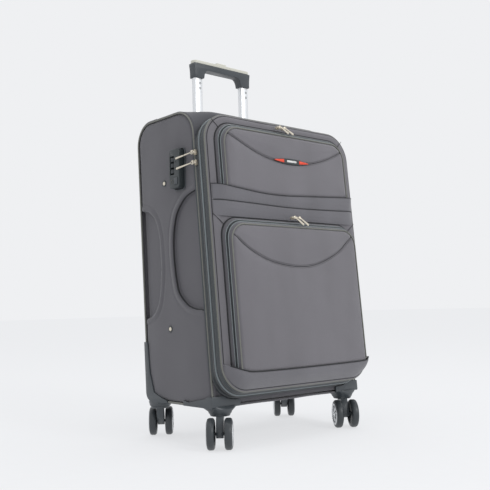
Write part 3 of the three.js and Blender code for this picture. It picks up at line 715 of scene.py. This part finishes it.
def lid_loop(inset, w):
    """The outline of the lid's sides at a depth w."""
    bottom = LID_SEAM_BOTTOM + (LID_BOTTOM - LID_SEAM_BOTTOM) * min(w / LID_DEPTH, 1)
    return rounded_loop(HALF_WIDTH - inset, bottom + inset, LID_TOP - inset, LID_RADIUS - inset)


def panel_loop(inset):
    """The outline of the lid's front."""
    return rounded_loop(PANEL_HALF - inset, LID_BOTTOM + inset, LID_TOP - inset, LID_RADIUS - inset)


def lid_line(inset, w):
    """The outline of the lid's sides as drawn points."""
    loop = lid_loop(inset, w)
    return on_lid(loop[:, 0], loop[:, 1], w)


def build_lid_gusset():
    """The lid's sides: zip tape, a raised pale binding, a second tape and the front's turned edge."""
    section = [(3.4, 0.4), (1.6, 0.5), (0.9, 2.5), (1.0, 5.2), (2.2, 6.0), (2.2, 8.2), (1.0, 9.0),
               (0.8, 13.0), (1.8, 15.2), (0.2, 17.0), (0.2, 19.5), (1.6, 21.4), (0.8, 24.0),
               (0.9, 31.0), (1.9, 33.6), (3.0, 36.0), (3.0, 38.4)]
    rows = np.array([lid_line(inset, w) for inset, w in section])
    tape_piece("lid_gusset_fabric", grid(rows, False, True), TAPE, replaces=["lid_gusset"],
               wall=1.6, inner=LINING)
    teeth = beads(lid_line(1.4, 7.1), LID_OUT, 2.3, (1.5, 1.5, 3.6), closed=True)
    tape_piece("main_zip_teeth", teeth, TEETH, smooth_faces=False)
    tape_piece("lid_binding", sweep(lid_line(0.0, 18.2), circle(1.8, 8), LID_OUT, True), PALE_BINDING_AND_PAINTED_SHINE)
    for label, w in (("zip_front", 12.2), ("zip_rear", 2.6), ("tape_front", 31.5), ("tape_rear", 23.0)):
        stitches = beads(lid_line(0.5, w), LID_OUT, 3.2, (2.2, 0.5, 0.5), closed=True)
        tape_piece(f"lid_stitches_{label}", stitches, STITCH)


def cord_on_lid(line, w, radius, closed=False, sides=6):
    """A seam or piping that lies along (x, v) points at a depth w."""
    return sweep(on_lid(line[:, 0], line[:, 1], w), circle(radius, sides), LID_OUT, closed)


def build_lid_front():
    """The lid's front: piped edge, a groove, then a padded border that runs in under the pockets."""
    rows = []
    section = [(0.6, 38.6), (0.2, 40.2), (1.2, 41.6), (3.2, 41.4), (4.4, 42.6), (7.0, 43.8), (12.0, 44.0),
               (20.0, 43.6), (26.0, 42.6), (40.0, 42.3)]
    for inset, w in section:
        x, v = panel_loop(inset).T
        rows.append(on_lid(x, v, w + 0.35 * ripples(x, v, 70, 5) * (inset > 4)))
    points, faces = grid(np.array(rows), False, True)
    faces.append(tuple(range(len(points) - len(rows[0]), len(points))))
    front_piece("lid_front_fabric", (points, faces), FRONT_FABRIC, replaces=["lid_front_panel"],
                wall=1.8, inner=LINING)
    front_piece("lid_front_piping", cord_on_lid(panel_loop(0.4), 38.6, 1.9, True, 10), PIPING)
    front_piece("lid_front_seam", cord_on_lid(panel_loop(3.4), 41.3, 1.1, True))
    for side, sign in SIDES:
        for label, ends in (("upper", [(190, 641), (164, 617)]), ("lower", [(204, 449), (172, 424)])):
            line = resample(np.array(ends, float) * [sign, 1], 3)
            front_piece(f"miter_seam_{label}_{side}", cord_on_lid(line, 44.0, 0.7))


# ------------------------------------------------------------------ pockets
UPPER_ARC = [
    (-173, 613), (-159, 609), (-138, 600), (-101, 584), (-57, 571),
    (2, 565), (65, 572), (112, 585), (150, 601), (173, 612),
]
LOWER_ARC = [
    (-177, 410), (-168, 402), (-131, 376), (-76, 354), (-5, 345),
    (53, 352), (116, 377), (151, 402), (177, 420),
]
MIDDLE_SEAM = [
    (-203, 509), (-181, 505), (-138, 500), (-82, 495), (-24, 494),
    (39, 497), (110, 501), (183, 505), (203, 507),
]
MIDDLE_LOWER_SEAM = [(-203, 477), (-120, 475), (0, 472), (120, 474), (203, 477)]
BOTTOM_SEAM = [
    (-206, 160), (-190, 152), (-171, 145), (-136, 140.5),
    (3, 140), (161, 142), (185, 147), (206, 151),
]


FACE_PUFF = 3.0                                  # how far a pocket's padding rises


def follow(curve, x):
    """The height of a smooth seam at each x."""
    line = smooth(curve, 10)
    return np.interp(x, line[:, 0], line[:, 1])


def arch(half, bottom, top, radius, count=240):
    """An open outline from the bottom left, over the top, to the bottom right."""
    corners = [(-half, bottom), (half, bottom), (half, top), (-half, top)]
    loop = rounded_corners(corners, [0, 0, radius, radius], 16)
    open_line = np.vstack([loop[1:], loop[:1]])[::-1]
    along = np.concatenate([[0], np.cumsum(np.linalg.norm(np.diff(open_line, axis=0), axis=1))])
    places = np.linspace(0, along[-1], count)
    return np.stack([np.interp(places, along, open_line[:, k]) for k in (0, 1)], -1)


def pocket_face_outline(pocket):
    return arch(pocket["face_half"], pocket["bottom"], pocket["face_top"], pocket["radius"] - 6)


def half_at(pocket, v):
    """Half the width of a pocket's face at a height."""
    radius = pocket["radius"] - 6
    rise = np.clip(v - (pocket["face_top"] - radius), 0, radius)
    return pocket["face_half"] - radius + np.sqrt(np.maximum(radius**2 - rise**2, 0))


def relief(x, v, edge, seams, puff, roll=3.2):
    """Padding that rises from its edge and seams, with puckers along them."""
    spots = np.stack([x, v], -1)
    from_edge = distance_to(spots, edge)
    nearest = from_edge
    height = -roll * np.exp(-(from_edge / 3.2) ** 2)
    for seam in seams:
        gap = distance_to(spots, seam)
        nearest = np.minimum(nearest, gap)
        height -= 1.5 * np.exp(-(gap / 1.8) ** 2)
    height += puff * (1 - np.exp(-nearest / 16))
    height += 0.28 * np.sin((x + 0.4 * v) / 1.5) * np.exp(-(nearest / 6) ** 2) * (nearest > 1.2)
    height += 0.5 * ripples(x, v, 95, 21) * (1 - np.exp(-nearest / 12))
    return height


def rows_between(curves, count):
    """Rows of v between curves, closer together where panels are sewn."""
    rows = []
    for low, high in zip(curves, curves[1:]):
        for k in range(count):
            share = (1 - math.cos(math.pi * k / count)) / 2
            rows.append(low + (high - low) * share)
    rows.append(curves[-1])
    return np.array(rows)


def pocket_outlines(pocket, across, lower_edge):
    """The face's sewn outline, its foot raised to the lower edge, and that lower edge."""
    x = across * pocket["face_half"]
    foot = np.stack([x, follow(lower_edge, x)], -1)
    outline = pocket_face_outline(pocket)
    outline[:, 1] = np.maximum(outline[:, 1], np.interp(outline[:, 0], *foot.T))
    return outline, foot


def build_pocket(name, pocket, arc, lower_edge, body):
    across = np.sin(np.linspace(-1, 1, 150) * math.pi / 2) * 0.5 + np.linspace(-1, 1, 150) * 0.5
    outline, foot = pocket_outlines(pocket, across, lower_edge)
    edge = np.vstack([outline, foot[::-1]])
    seam = np.stack([foot[:, 0], follow(arc, foot[:, 0])], -1)
    build_pocket_face(name, pocket, across, edge, foot, seam, body)
    build_pocket_gusset(name, pocket, outline, body)


def build_pocket_face(name, pocket, across, edge, foot, seam, body):
    """The padded face, with its curved seam and two rows of stitches."""
    face_w = FACE_BASE_W + pocket["proud"]
    top = pocket["face_top"]
    v = rows_between([foot[:, 1], seam[:, 1], np.full(len(across), top)], 46)
    v = np.minimum(v, top)
    x = across[None] * half_at(pocket, v)
    height = relief(x, v, edge, [seam], FACE_PUFF)
    front_piece(f"{name}_face", grid(on_lid(x, v, face_w - 0.5 + height)), FRONT_FABRIC, body,
                replaces=[f"{name}_flap"], wall=2.0, inner=LINING, fill=0.4)
    for label, shift in (("arc", 3.0), ("arc_low", -3.0)):
        line = seam[np.abs(seam[:, 0]) < pocket["face_half"] - 12] + [0, shift]
        level = relief(line[:, 0], line[:, 1], edge, [seam], FACE_PUFF)
        path = on_lid(line[:, 0], line[:, 1], face_w - 0.3 + level)
        front_piece(f"{name}_stitches_{label}", beads(path, LID_OUT, 3.4, (2.3, 0.45, 0.4)), body=body)
    trimmed = seam[np.abs(seam[:, 0]) < pocket["face_half"] - 5]
    front_piece(f"{name}_arc_seam", cord_on_lid(trimmed, face_w - 2.0, 0.75), body=body)


def build_pocket_gusset(name, pocket, outline, body):
    """The pocket's sides, which slope from the face down to the lid, and the zip round them."""
    top_w = FACE_BASE_W + pocket["proud"] - 2.6
    base_w = FACE_BASE_W + 0.4
    base = arch(pocket["base_half"], pocket["bottom"], pocket["top"], pocket["radius"])

    def line_at(share, lift):
        """A line round the sides, a share of the way down, raised off them."""
        line = outline + (base - outline) * share
        line_out = line + gusset_out(line) * lift
        return on_lid(line_out[:, 0], line_out[:, 1], top_w + (base_w - top_w) * share + lift)

    def cord(share, lift, radius, sides=6):
        return sweep(resample(line_at(share, lift), 4), circle(radius, sides), LID_OUT)

    section = [(0.0, 0.6), (0.1, 1.2), (0.24, 0.6), (0.36, 0.3), (0.42, -0.8), (0.52, -0.8),
               (0.58, 0.3), (0.72, 0.9), (0.86, 0.4), (1.0, 0.0)]
    rows = np.array([line_at(share, bulge) for share, bulge in section])
    tape_piece(f"{name}_gusset", grid(rows), FABRIC, body, wall=1.2, inner=LINING)
    front_piece(f"{name}_edge_piping", cord(0.02, 0.6, 1.4, 8), PIPING, body)
    # The two pale cords either side of the teeth are painted reflection of the zip tape.
    tape_piece(f"{name}_zip_tape_painted_shine", [cord(0.36, 0.5, 0.9), cord(0.60, 0.5, 0.9)], PALE_BINDING_AND_PAINTED_SHINE, body)
    # A dark cord round the pocket's foot: painted shadow along the piping there.
    front_piece(f"{name}_base_shadow_cord", cord(0.97, 0.3, 1.6, 8))
    teeth = beads(line_at(0.47, 0.2), LID_OUT, 2.0, (1.3, 3.0, 1.4))
    tape_piece(f"{name}_zip_teeth", teeth, TEETH, body, smooth_faces=False)


def gusset_out(line):
    """Outward directions along an arch in the lid's plane."""
    ahead = unit(np.gradient(line, axis=0))
    return np.stack([-ahead[:, 1], ahead[:, 0]], -1)


def shoulders(x, half, run):
    """A band's height at each x, from 0 at its ends to 1 within."""
    return np.sin(np.clip((half - np.abs(x)) / run, 0, 1) * math.pi / 2) ** 0.8


def band_edge(x, high, low):
    return np.vstack([np.stack([x, high], -1), np.stack([x, low], -1)[::-1]])


def build_middle_band(across):
    """The band between the pockets: a strip and a slope below it, sewn along two seams."""
    x0 = across * 203
    high, middle, low = follow(MIDDLE_SEAM, x0), follow(MIDDLE_LOWER_SEAM, x0), np.full(len(x0), 446.0)

    def level(x, v):
        rise = 3 + 14.5 * np.clip((v - low) / (high - low), 0, 1) ** 1.35
        return FACE_BASE_W + rise * shoulders(x, 203, 26)

    v = rows_between([low, middle, high], 24)
    x = np.broadcast_to(x0, v.shape)
    w = level(x, v) + relief(x, v, band_edge(x0, high, low), [np.stack([x0, middle], -1)], 1.6, 0.4)
    front_piece("middle_band_fabric", grid(on_lid(x, v, w)), BAND_FABRIC, replaces=["middle_band"], wall=1.6)
    for label, curve, sunk in (("high", high, -0.2), ("low", middle, 0.4)):
        line = np.stack([x0, curve], -1)
        front_piece(f"middle_band_seam_{label}", cord_on_lid(line, level(x0, curve) - sunk, 0.65))


def build_bottom_band(across):
    """The band under the lower pocket, which rolls down to the lid's bottom edge."""
    x0 = across * HALF_WIDTH
    high = follow(BOTTOM_SEAM, x0)
    corner = np.clip(np.abs(x0) - (PANEL_HALF - LID_RADIUS), 0, LID_RADIUS - 2)
    low = LID_BOTTOM + 4 + LID_RADIUS - np.sqrt(LID_RADIUS**2 - corner**2)
    low = np.minimum(low, high - 1)
    v = rows_between([low, high], 44)
    x = np.broadcast_to(x0, v.shape)
    rise = np.sin(np.clip((v - low) / np.maximum(high - low, 1), 0, 1) * math.pi / 2) ** 0.9
    base_w, proud = FACE_BASE_W + 0.4, LOWER["proud"] - 1.5
    w = base_w + proud * rise * shoulders(x, HALF_WIDTH, 30)
    w = w + relief(x, v, band_edge(x0, high, low), [], 1.6, 0.6)
    front_piece("bottom_band_fabric", grid(on_lid(x, v, w)), BAND_FABRIC, replaces=["bottom_band"], wall=1.6)
    # A dark cord along the band's top: painted shade of the gap under the lower pocket.
    seam = np.stack([x0, high], -1)
    level = base_w + proud * shoulders(x0, HALF_WIDTH, 30)
    shown = np.abs(x0) < 198
    front_piece("bottom_band_shadow_cord", cord_on_lid(seam[shown], level[shown], 1.2, sides=8))


def build_badge():
    """A plain lens-shaped badge without lettering: dark field, red ends, pale bar."""
    length, height = 53.0, 6.2
    centre = on_lid(5, 569.5, FACE_BASE_W + UPPER["proud"] + 0.6)

    def lens(t, fullness):
        edge = np.column_stack([t * length, fullness * height * (1 - t**2)])
        back = edge[::-1]
        return np.vstack([edge * [1, -1], back[back[:, 1] > 0]])

    def badge_part(name, outline, low, high, finish, **more):
        part = placed(prism(outline, low, high), centre, ACROSS, LID_UP)
        front_piece(name, part, finish, "upper_flap", **more)

    badge_part("badge_base", lens(np.linspace(-1, 1, 41), 1), 0, 1.4, GLOSS_PLASTIC, bevel=0.4)
    for side, sign in SIDES:
        wedge = lens(np.linspace(0.42, 0.93, 12), 0.72) * [sign, 1]
        badge_part(f"badge_end_{side}", wedge[::sign], 1.2, 1.9, RED)
    badge_part("badge_bar", rounded_box(-14, 14, -2.1, 2.1, 1.8, 4), 1.2, 2.0, BADGE_PALE)


# ------------------------------------------------------------------ zip hardware
def slider_parts(size, arch_top=1.02):
    """A zip slider standing on z = 0: a wedge body, a slot for the chain and a bridge on top."""
    along, across, high = size
    back, front = across / 2, across * 0.36
    nose = rounded_corners([(-along / 2, -back), (along / 2, -front), (along / 2, front), (-along / 2, back)],
                           [1.6, 1.2, 1.2, 1.6], 4)
    top, foot = high * arch_top, high * 0.62
    bridge = np.array([(-along * 0.36, 0, foot), (-along * 0.25, 0, top - 0.5), (0, 0, top),
                       (along * 0.25, 0, top - 0.5), (along * 0.36, 0, foot)])
    return [prism(nose, 0, high * 0.3),
            prism(nose * 0.8, high * 0.3, high * 0.42),
            prism(nose * 0.96, high * 0.42, high * 0.68),
            sweep(smooth(bridge, 5), circle(0.9, 8, 1.6), (0, 1, 0))]


def pull_parts(length, width, thickness, ring_radius=2.5):
    """A pull: a ring head round the bridge and a tapered bar."""
    turns = np.linspace(0, 2 * math.pi, 28, endpoint=False)
    ring = np.column_stack([np.cos(turns) * ring_radius, np.sin(turns) * ring_radius, np.zeros(28)])
    low_side = [(ring_radius, -width * 0.2), (length * 0.5, -width * 0.3), (length, -width * 0.42)]
    high_side = [(x, -y) for x, y in reversed(low_side)]
    taper = rounded_corners(low_side + high_side, [0.5, 1, 1.6, 1.6, 1, 0.5], 4)
    return [sweep(ring, circle(thickness * 0.55, 8), UPWARD, True),
            prism(taper, -thickness / 2, thickness / 2)]


def metal_piece(name, parts, bevel):
    """Stands for the CAD node and body of the same name."""
    piece(f"{name}_metal", parts, name, "nickel", NICKEL, [name], bevel=bevel)


def build_pocket_sliders(label, pocket, places, length, dip):
    """Two sliders that meet at the top of a pocket's zip, one pull lying over the other."""
    v, face_w = pocket["top"] + 3.6, FACE_BASE_W + pocket["proud"]
    for (side, turn), x, layer in zip(SIDES, places, (1, 0)):
        parts = slider_parts((9, 6.6, 8 + layer * 2))
        foot = on_lid(x, v, face_w - 7)
        metal_piece(f"{label}_pocket_slider_{side}",
                    [placed(p, foot, (turn, 0, 0), turn * LID_UP) for p in parts], 0.25)
        head = on_lid(x, v, face_w + 2.1 + layer * 2)
        ahead = math.cos(dip) * np.array(ACROSS) - math.sin(dip) * LID_UP
        parts = pull_parts(length, 6, 1.6)
        metal_piece(f"{label}_pocket_pull_{side}",
                    [placed(p, head, ahead, np.cross(LID_OUT, ahead)) for p in parts], 0.3)


def build_main_sliders():
    """Two sliders on the left side, whose pulls reach back into the lock."""
    out = np.array([-1.0, 0, 0])
    for name, v, turn in (("upper", 580, 1), ("lower", 559, -1)):
        foot = on_lid(-HALF_WIDTH - 0.3, v, 7)
        ahead = turn * LID_UP
        parts = slider_parts((11, 8, 6.2), 1.7)
        metal_piece(f"main_slider_{name}",
                    [placed(p, foot, ahead, np.cross(out, ahead)) for p in parts], 0.25)
        pull = f"main_pull_{name}"
        low, high = drawn_box(pull)
        head = on_lid(-HALF_WIDTH - 9.4, v, 4.6)
        ahead = unit(np.array([low[0] + 0.8, high[1] - 1.5, low[2] + 2.0]) - head)
        across = np.cross(unit(out + ahead * ahead[0]), ahead)
        metal_piece(pull, [placed(p, head, ahead, across) for p in pull_parts(44, 5, 1.6, 3.6)], 0.3)


# ------------------------------------------------------------------ lock
LOCK_FACE_X = -HALF_WIDTH - 15.3


def lock_detail(name, part, y, z, slot, finish):
    """A small part laid on the lock's face."""
    piece(name, placed(part, (LOCK_FACE_X, y, z), UPWARD, (0, -1, 0)), "root", slot, finish)


def ribbed_dial():
    """A dial about +Z with twenty finger ribs and eased rims."""
    turns = np.linspace(0, 2 * math.pi, 160, endpoint=False)
    ribs = 6.0 + 0.22 * np.cos(turns * 20)
    rows = []
    for share, height in ((0.88, -4.0), (0.97, -3.6), (1.0, -2.8), (1.0, 2.8), (0.97, 3.6), (0.88, 4.0)):
        x, y = ribs * share * np.cos(turns), ribs * share * np.sin(turns)
        rows.append(np.column_stack([x, y, np.full(160, height)]))
    points, faces = grid(np.array(rows), False, True)
    faces += [tuple(reversed(range(160))), tuple(range(len(points) - 160, len(points)))]
    return points, faces


def build_lock():
    keep_cad("lock_body", GLOSS_PLASTIC, 1.4)
    keep_cad("lock_button", PLASTIC, 0.8)
    for number in (1, 2, 3):
        node = f"lock_dial_{number}"
        points, faces = ribbed_dial()
        centre = sum(drawn_box(node)) / 2
        piece(f"{node}_ribbed", (points + centre, faces), node, "dark_plastic", TYRE, [node])
    mark = prism(rounded_box(-0.5, 0.5, -3, 3, 0.4, 3), 0, 0.4)
    for k, z in enumerate((566, 554)):
        lock_detail(f"lock_mark_{k}", mark, 3.5, z, "pale_plastic", PALE_PLASTIC)
    key = lathe([(1.0, 0.3), (1.2, 0.9), (3.4, 0.9), (3.9, 0.4), (3.9, -0.5)], 32)
    lock_detail("lock_key_ring", key, 16, 527, "nickel", NICKEL)
    key_slot = prism(rounded_box(-2.4, 2.4, -0.5, 0.5, 0.4, 3), 0.2, 1.0)
    lock_detail("lock_key_slot", key_slot, 16, 527, "dark_plastic", DARK_SEAM)
    rim = rounded_box(-10, 28, 510.5, 595.5, 7.5)
    gasket = resample(np.column_stack([np.full(len(rim), -HALF_WIDTH - 1.4), rim]), 2, True)
    piece("lock_gasket", sweep(gasket, circle(1.5, 8), ACROSS, True), "root", "dark_plastic", PLASTIC)


# ------------------------------------------------------------------ handle
def build_handle():
    for side, sign in SIDES:
        for stage in ("guide", "middle", "upper"):
            keep_cad(f"handle_{stage}_tube_{side}", ALUMINIUM, 0.5)
        for k, z in enumerate((784, 772)):
            pin = lathe([(0, -0.3), (1.5, -0.3), (1.7, 0.1), (2.3, 0.25), (2.6, -0.1)], 24)
            centre = (sign * TUBE_X + 3, TUBE_Y - 7.6, z)
            piece(f"tube_pin_{side}_{k}", placed(pin, centre, ACROSS, UPWARD), "handle_upper",
                  "dark_plastic", DARK_SEAM)
    for node, bevel in (("handle_bezel", 1.2), ("handle_base_bracket", 1.0), ("grip_body", 3.0)):
        keep_cad(node, PLASTIC, bevel)
    for node, bevel in (("grip_top_cover", 2.4), ("handle_release_button", 1.6)):
        keep_cad(node, PALE_PLASTIC, bevel)


def build_carry_handle():
    """Flat webbing strap across the top, sewn down at both ends."""
    reach, y, z = 104.0, 45.0, BODY_TOP + 0.9
    x = np.linspace(-reach, reach, 80)
    lift = z + 3.4 * np.clip(1 - (np.abs(x) / (reach - 26)) ** 4, 0, 1)
    section = [(-14.5, -0.4), (-14.5, 0.5), (-13, 0.9), (0, 1.1), (13, 0.9), (14.5, 0.5), (14.5, -0.4),
               (0, -0.7)]
    path = np.column_stack([x, np.full(80, y), lift])
    piece("carry_strap", sweep(path, section, UPWARD), "root", "webbing", WEBBING, ["top_carry_handle"])
    outer, inner = reach - 4, reach - 26
    box = [(outer, -11), (inner, -11), (inner, 11), (outer, 11), (outer, -11), (inner, 11)]
    stitches = []
    for _, sign in SIDES:
        line = np.array([(sign * a, y + b, z + 1.3) for a, b in box], float)
        stitches += [beads(line[k:k + 2], UPWARD, 3, (2.2, 0.6, 0.5)) for k in range(len(line) - 1)]
    piece("carry_strap_stitches", stitches, "root", "webbing", STITCH)


# ------------------------------------------------------------------ interior
def build_interior():
    """The lined back board with two crossed packing straps and their buckle."""
    keep_cad("inner_back_board", LINING)
    low, high = drawn_box("inner_back_board")
    face_y = low[1] - 1.2
    foot, top = low[2] + 40, high[2] - 60
    arch_out = 7 * np.sin(np.linspace(0, math.pi, 60)) ** 0.5
    straps = []
    for start_x, lift in ((-178, 0), (178, 1.5)):
        x, z = np.linspace(start_x, -start_x, 60), np.linspace(foot, top, 60)
        path = np.column_stack([x, face_y - arch_out - lift, z])
        straps.append(sweep(path, [(-12, -0.5), (-12, 0.5), (12, 0.5), (12, -0.5)], (0, -1, 0)))
    piece("packing_straps", straps, "root", "webbing", WEBBING)
    buckle = prism(rounded_box(-22, 22, -17, 17, 5, 5), 0, 5)
    centre = (0, face_y - 9.5, (low[2] + high[2]) / 2 - 10)
    piece("packing_buckle", placed(buckle, centre, ACROSS, (0, 0, -1)), "root", "dark_plastic", PLASTIC,
          bevel=1.2)


# ------------------------------------------------------------------ corners and casters
def build_guards():
    for name in CASTER_TURN:
        keep_cad(f"corner_guard_{name}", PLASTIC, 1.6)


def wheel_parts():
    """A wheel's tyre and its rim parts about +Z, the rim facing +Z."""
    half, outer = WHEEL_WIDTH / 2, WHEEL_RADIUS - 0.02
    tread = [(22, -half), (outer - 4.5, -half), (outer - 1.6, -half + 1.2), (outer, -half + 4),
             (outer, half - 4), (outer - 1.6, half - 1.2), (outer - 4.5, half), (22, half)]
    web = [(21.4, half - 1.6), (4, half - 3.4), (4, -half + 3.4), (21.4, -half + 1.6), (22, -half)]
    tyre = lathe(tread + web, 72)
    ring = lathe([(18.6, half - 1.9), (19.2, half + 0.6), (21.8, half + 1.2), (23.4, half + 0.4),
                  (23.6, half - 1.6)], 72)
    hub = lathe([(0, half + 1.4), (3.4, half + 1.2), (5.2, half + 0.4), (6.2, half - 2.6)], 40)
    blade = prism([(4.0, -1.5), (19.4, -0.9), (19.4, 0.9), (4.0, 1.5)], half - 2.6, half + 0.3)
    spokes = []
    for turn in np.arange(10) * 2 * math.pi / 10:
        outward, sideways = (math.cos(turn), math.sin(turn), 0), (-math.sin(turn), math.cos(turn), 0)
        spokes.append(placed(blade, (0, 0, 0), outward, sideways))
    return tyre, [ring, hub, *spokes]


def build_casters():
    """Fork, axle boss and twin wheels of each caster, whose rims face outwards."""
    tyre, rim = wheel_parts()
    boss = lathe([(0, -6.8), (7.5, -6.8), (8.2, -6.0), (8.2, 6.0), (7.5, 6.8), (0, 6.8)], 36)
    for name, heading in CASTER_TURN.items():
        turn = math.radians(heading)
        across = np.array([-math.sin(turn), math.cos(turn), 0])
        keep_cad(f"caster_fork_{name}", PLASTIC, 1.2)
        centres = {letter: sum(drawn_box(f"wheel_{name}_{letter}")) / 2 for letter in "ab"}
        axle = (centres["a"] + centres["b"]) / 2
        piece(f"caster_boss_{name}", placed(boss, axle, UPWARD, np.cross(across, UPWARD)),
              f"caster_{name}", "dark_plastic", PLASTIC)
        for letter, sign in (("a", -1), ("b", 1)):
            node = f"wheel_{name}_{letter}"
            axes = (UPWARD, np.cross(across * sign, UPWARD))
            piece(f"{node}_tyre", placed(tyre, centres[letter], *axes), node, "tyre", TYRE, [node])
            piece(f"{node}_rim", [placed(p, centres[letter], *axes) for p in rim], node,
                  "aluminium", RIM_SILVER)


# ------------------------------------------------------------------ stage, light and camera
BACKDROP = srgb(239, 240, 242)
FLOOR_ALBEDO, FLOOR_GLOW = 0.26, 0.742           # a partly glowing floor keeps its shadows faint
CAMERA_PLACE = (-1115.19, -1240.24, 266.86)
CAMERA_AZIMUTH, CAMERA_ELEVATION, CAMERA_ROLL = (math.radians(a) for a in (-40.8514, -4.7322, -1.4862))
CAMERA_LENS = 56.0


def build_stage():
    bpy.ops.mesh.primitive_plane_add(size=60)
    floor = bpy.context.object
    floor.name = "floor"
    ground = Finish("FloorPaper", 0.95, Specular_IOR_Level=0.0)
    darker, lighter = (shade(BACKDROP, FLOOR_ALBEDO * factor) for factor in (0.97, 1.03))
    ground.colour(ground.blend(ground.noise(40, 2), darker, lighter))
    ground.shader.inputs["Emission Color"].default_value = BACKDROP
    ground.shader.inputs["Emission Strength"].default_value = FLOOR_GLOW
    floor.data.materials.append(ground.material)
    world = bpy.data.worlds.new("Studio")
    bpy.context.scene.world = world
    world.use_nodes = True
    world.node_tree.nodes["Background"].inputs["Color"].default_value = BACKDROP


def area_light(name, place, target, size, power):
    data = bpy.data.lights.new(name, "AREA")
    data.shape = "DISK"
    data.size = size
    data.energy = power
    made = bpy.data.objects.new(name, data)
    made.location = place
    made.rotation_mode = "QUATERNION"
    made.rotation_quaternion = (Vector(target) - Vector(place)).to_track_quat("-Z", "Y")
    bpy.context.scene.collection.objects.link(made)


def build_camera():
    """The camera that sees the case as drawn, from its front left and near the floor."""
    flat = math.cos(CAMERA_ELEVATION)
    back = Vector((math.sin(CAMERA_AZIMUTH) * flat, -math.cos(CAMERA_AZIMUTH) * flat,
                   math.sin(CAMERA_ELEVATION)))
    right = Vector(UPWARD).cross(back).normalized()
    up = back.cross(right)
    x = math.cos(CAMERA_ROLL) * right + math.sin(CAMERA_ROLL) * up
    y = -math.sin(CAMERA_ROLL) * right + math.cos(CAMERA_ROLL) * up
    data = bpy.data.cameras.new("Camera")
    data.lens = CAMERA_LENS
    data.sensor_width = 36.0
    made = bpy.data.objects.new("Camera", data)
    basis = Matrix((x, y, back)).transposed().to_4x4()
    basis.translation = Vector(to_row(CAMERA_PLACE))
    made.matrix_world = basis
    bpy.context.scene.collection.objects.link(made)
    bpy.context.scene.camera = made


build_camera()
build_stage()
build_shell()
build_border()
build_sides()
build_lid_gusset()
build_lid_front()
build_pocket("upper_pocket", UPPER, UPPER_ARC, MIDDLE_SEAM, "upper_flap")
build_pocket("lower_pocket", LOWER, LOWER_ARC, BOTTOM_SEAM, "lower_flap")
build_middle_band(np.linspace(-1, 1, 160))
build_bottom_band(np.linspace(-1, 1, 160))
build_badge()
build_pocket_sliders("upper", UPPER, (-22, -6), 26, 0.45)
build_pocket_sliders("lower", LOWER, (-8, 8), 28, 0.55)
build_main_sliders()
build_lock()
build_handle()
build_carry_handle()
build_interior()
build_guards()
build_casters()
area_light("key", (0.3, -3.2, 1.9), (0, 0, 0.4), 1.1, 34)
area_light("top", (0.2, -0.2, 3.4), (0, 0, 0.4), 2.4, 16)
bpy.context.scene.view_settings.view_transform = "Standard"
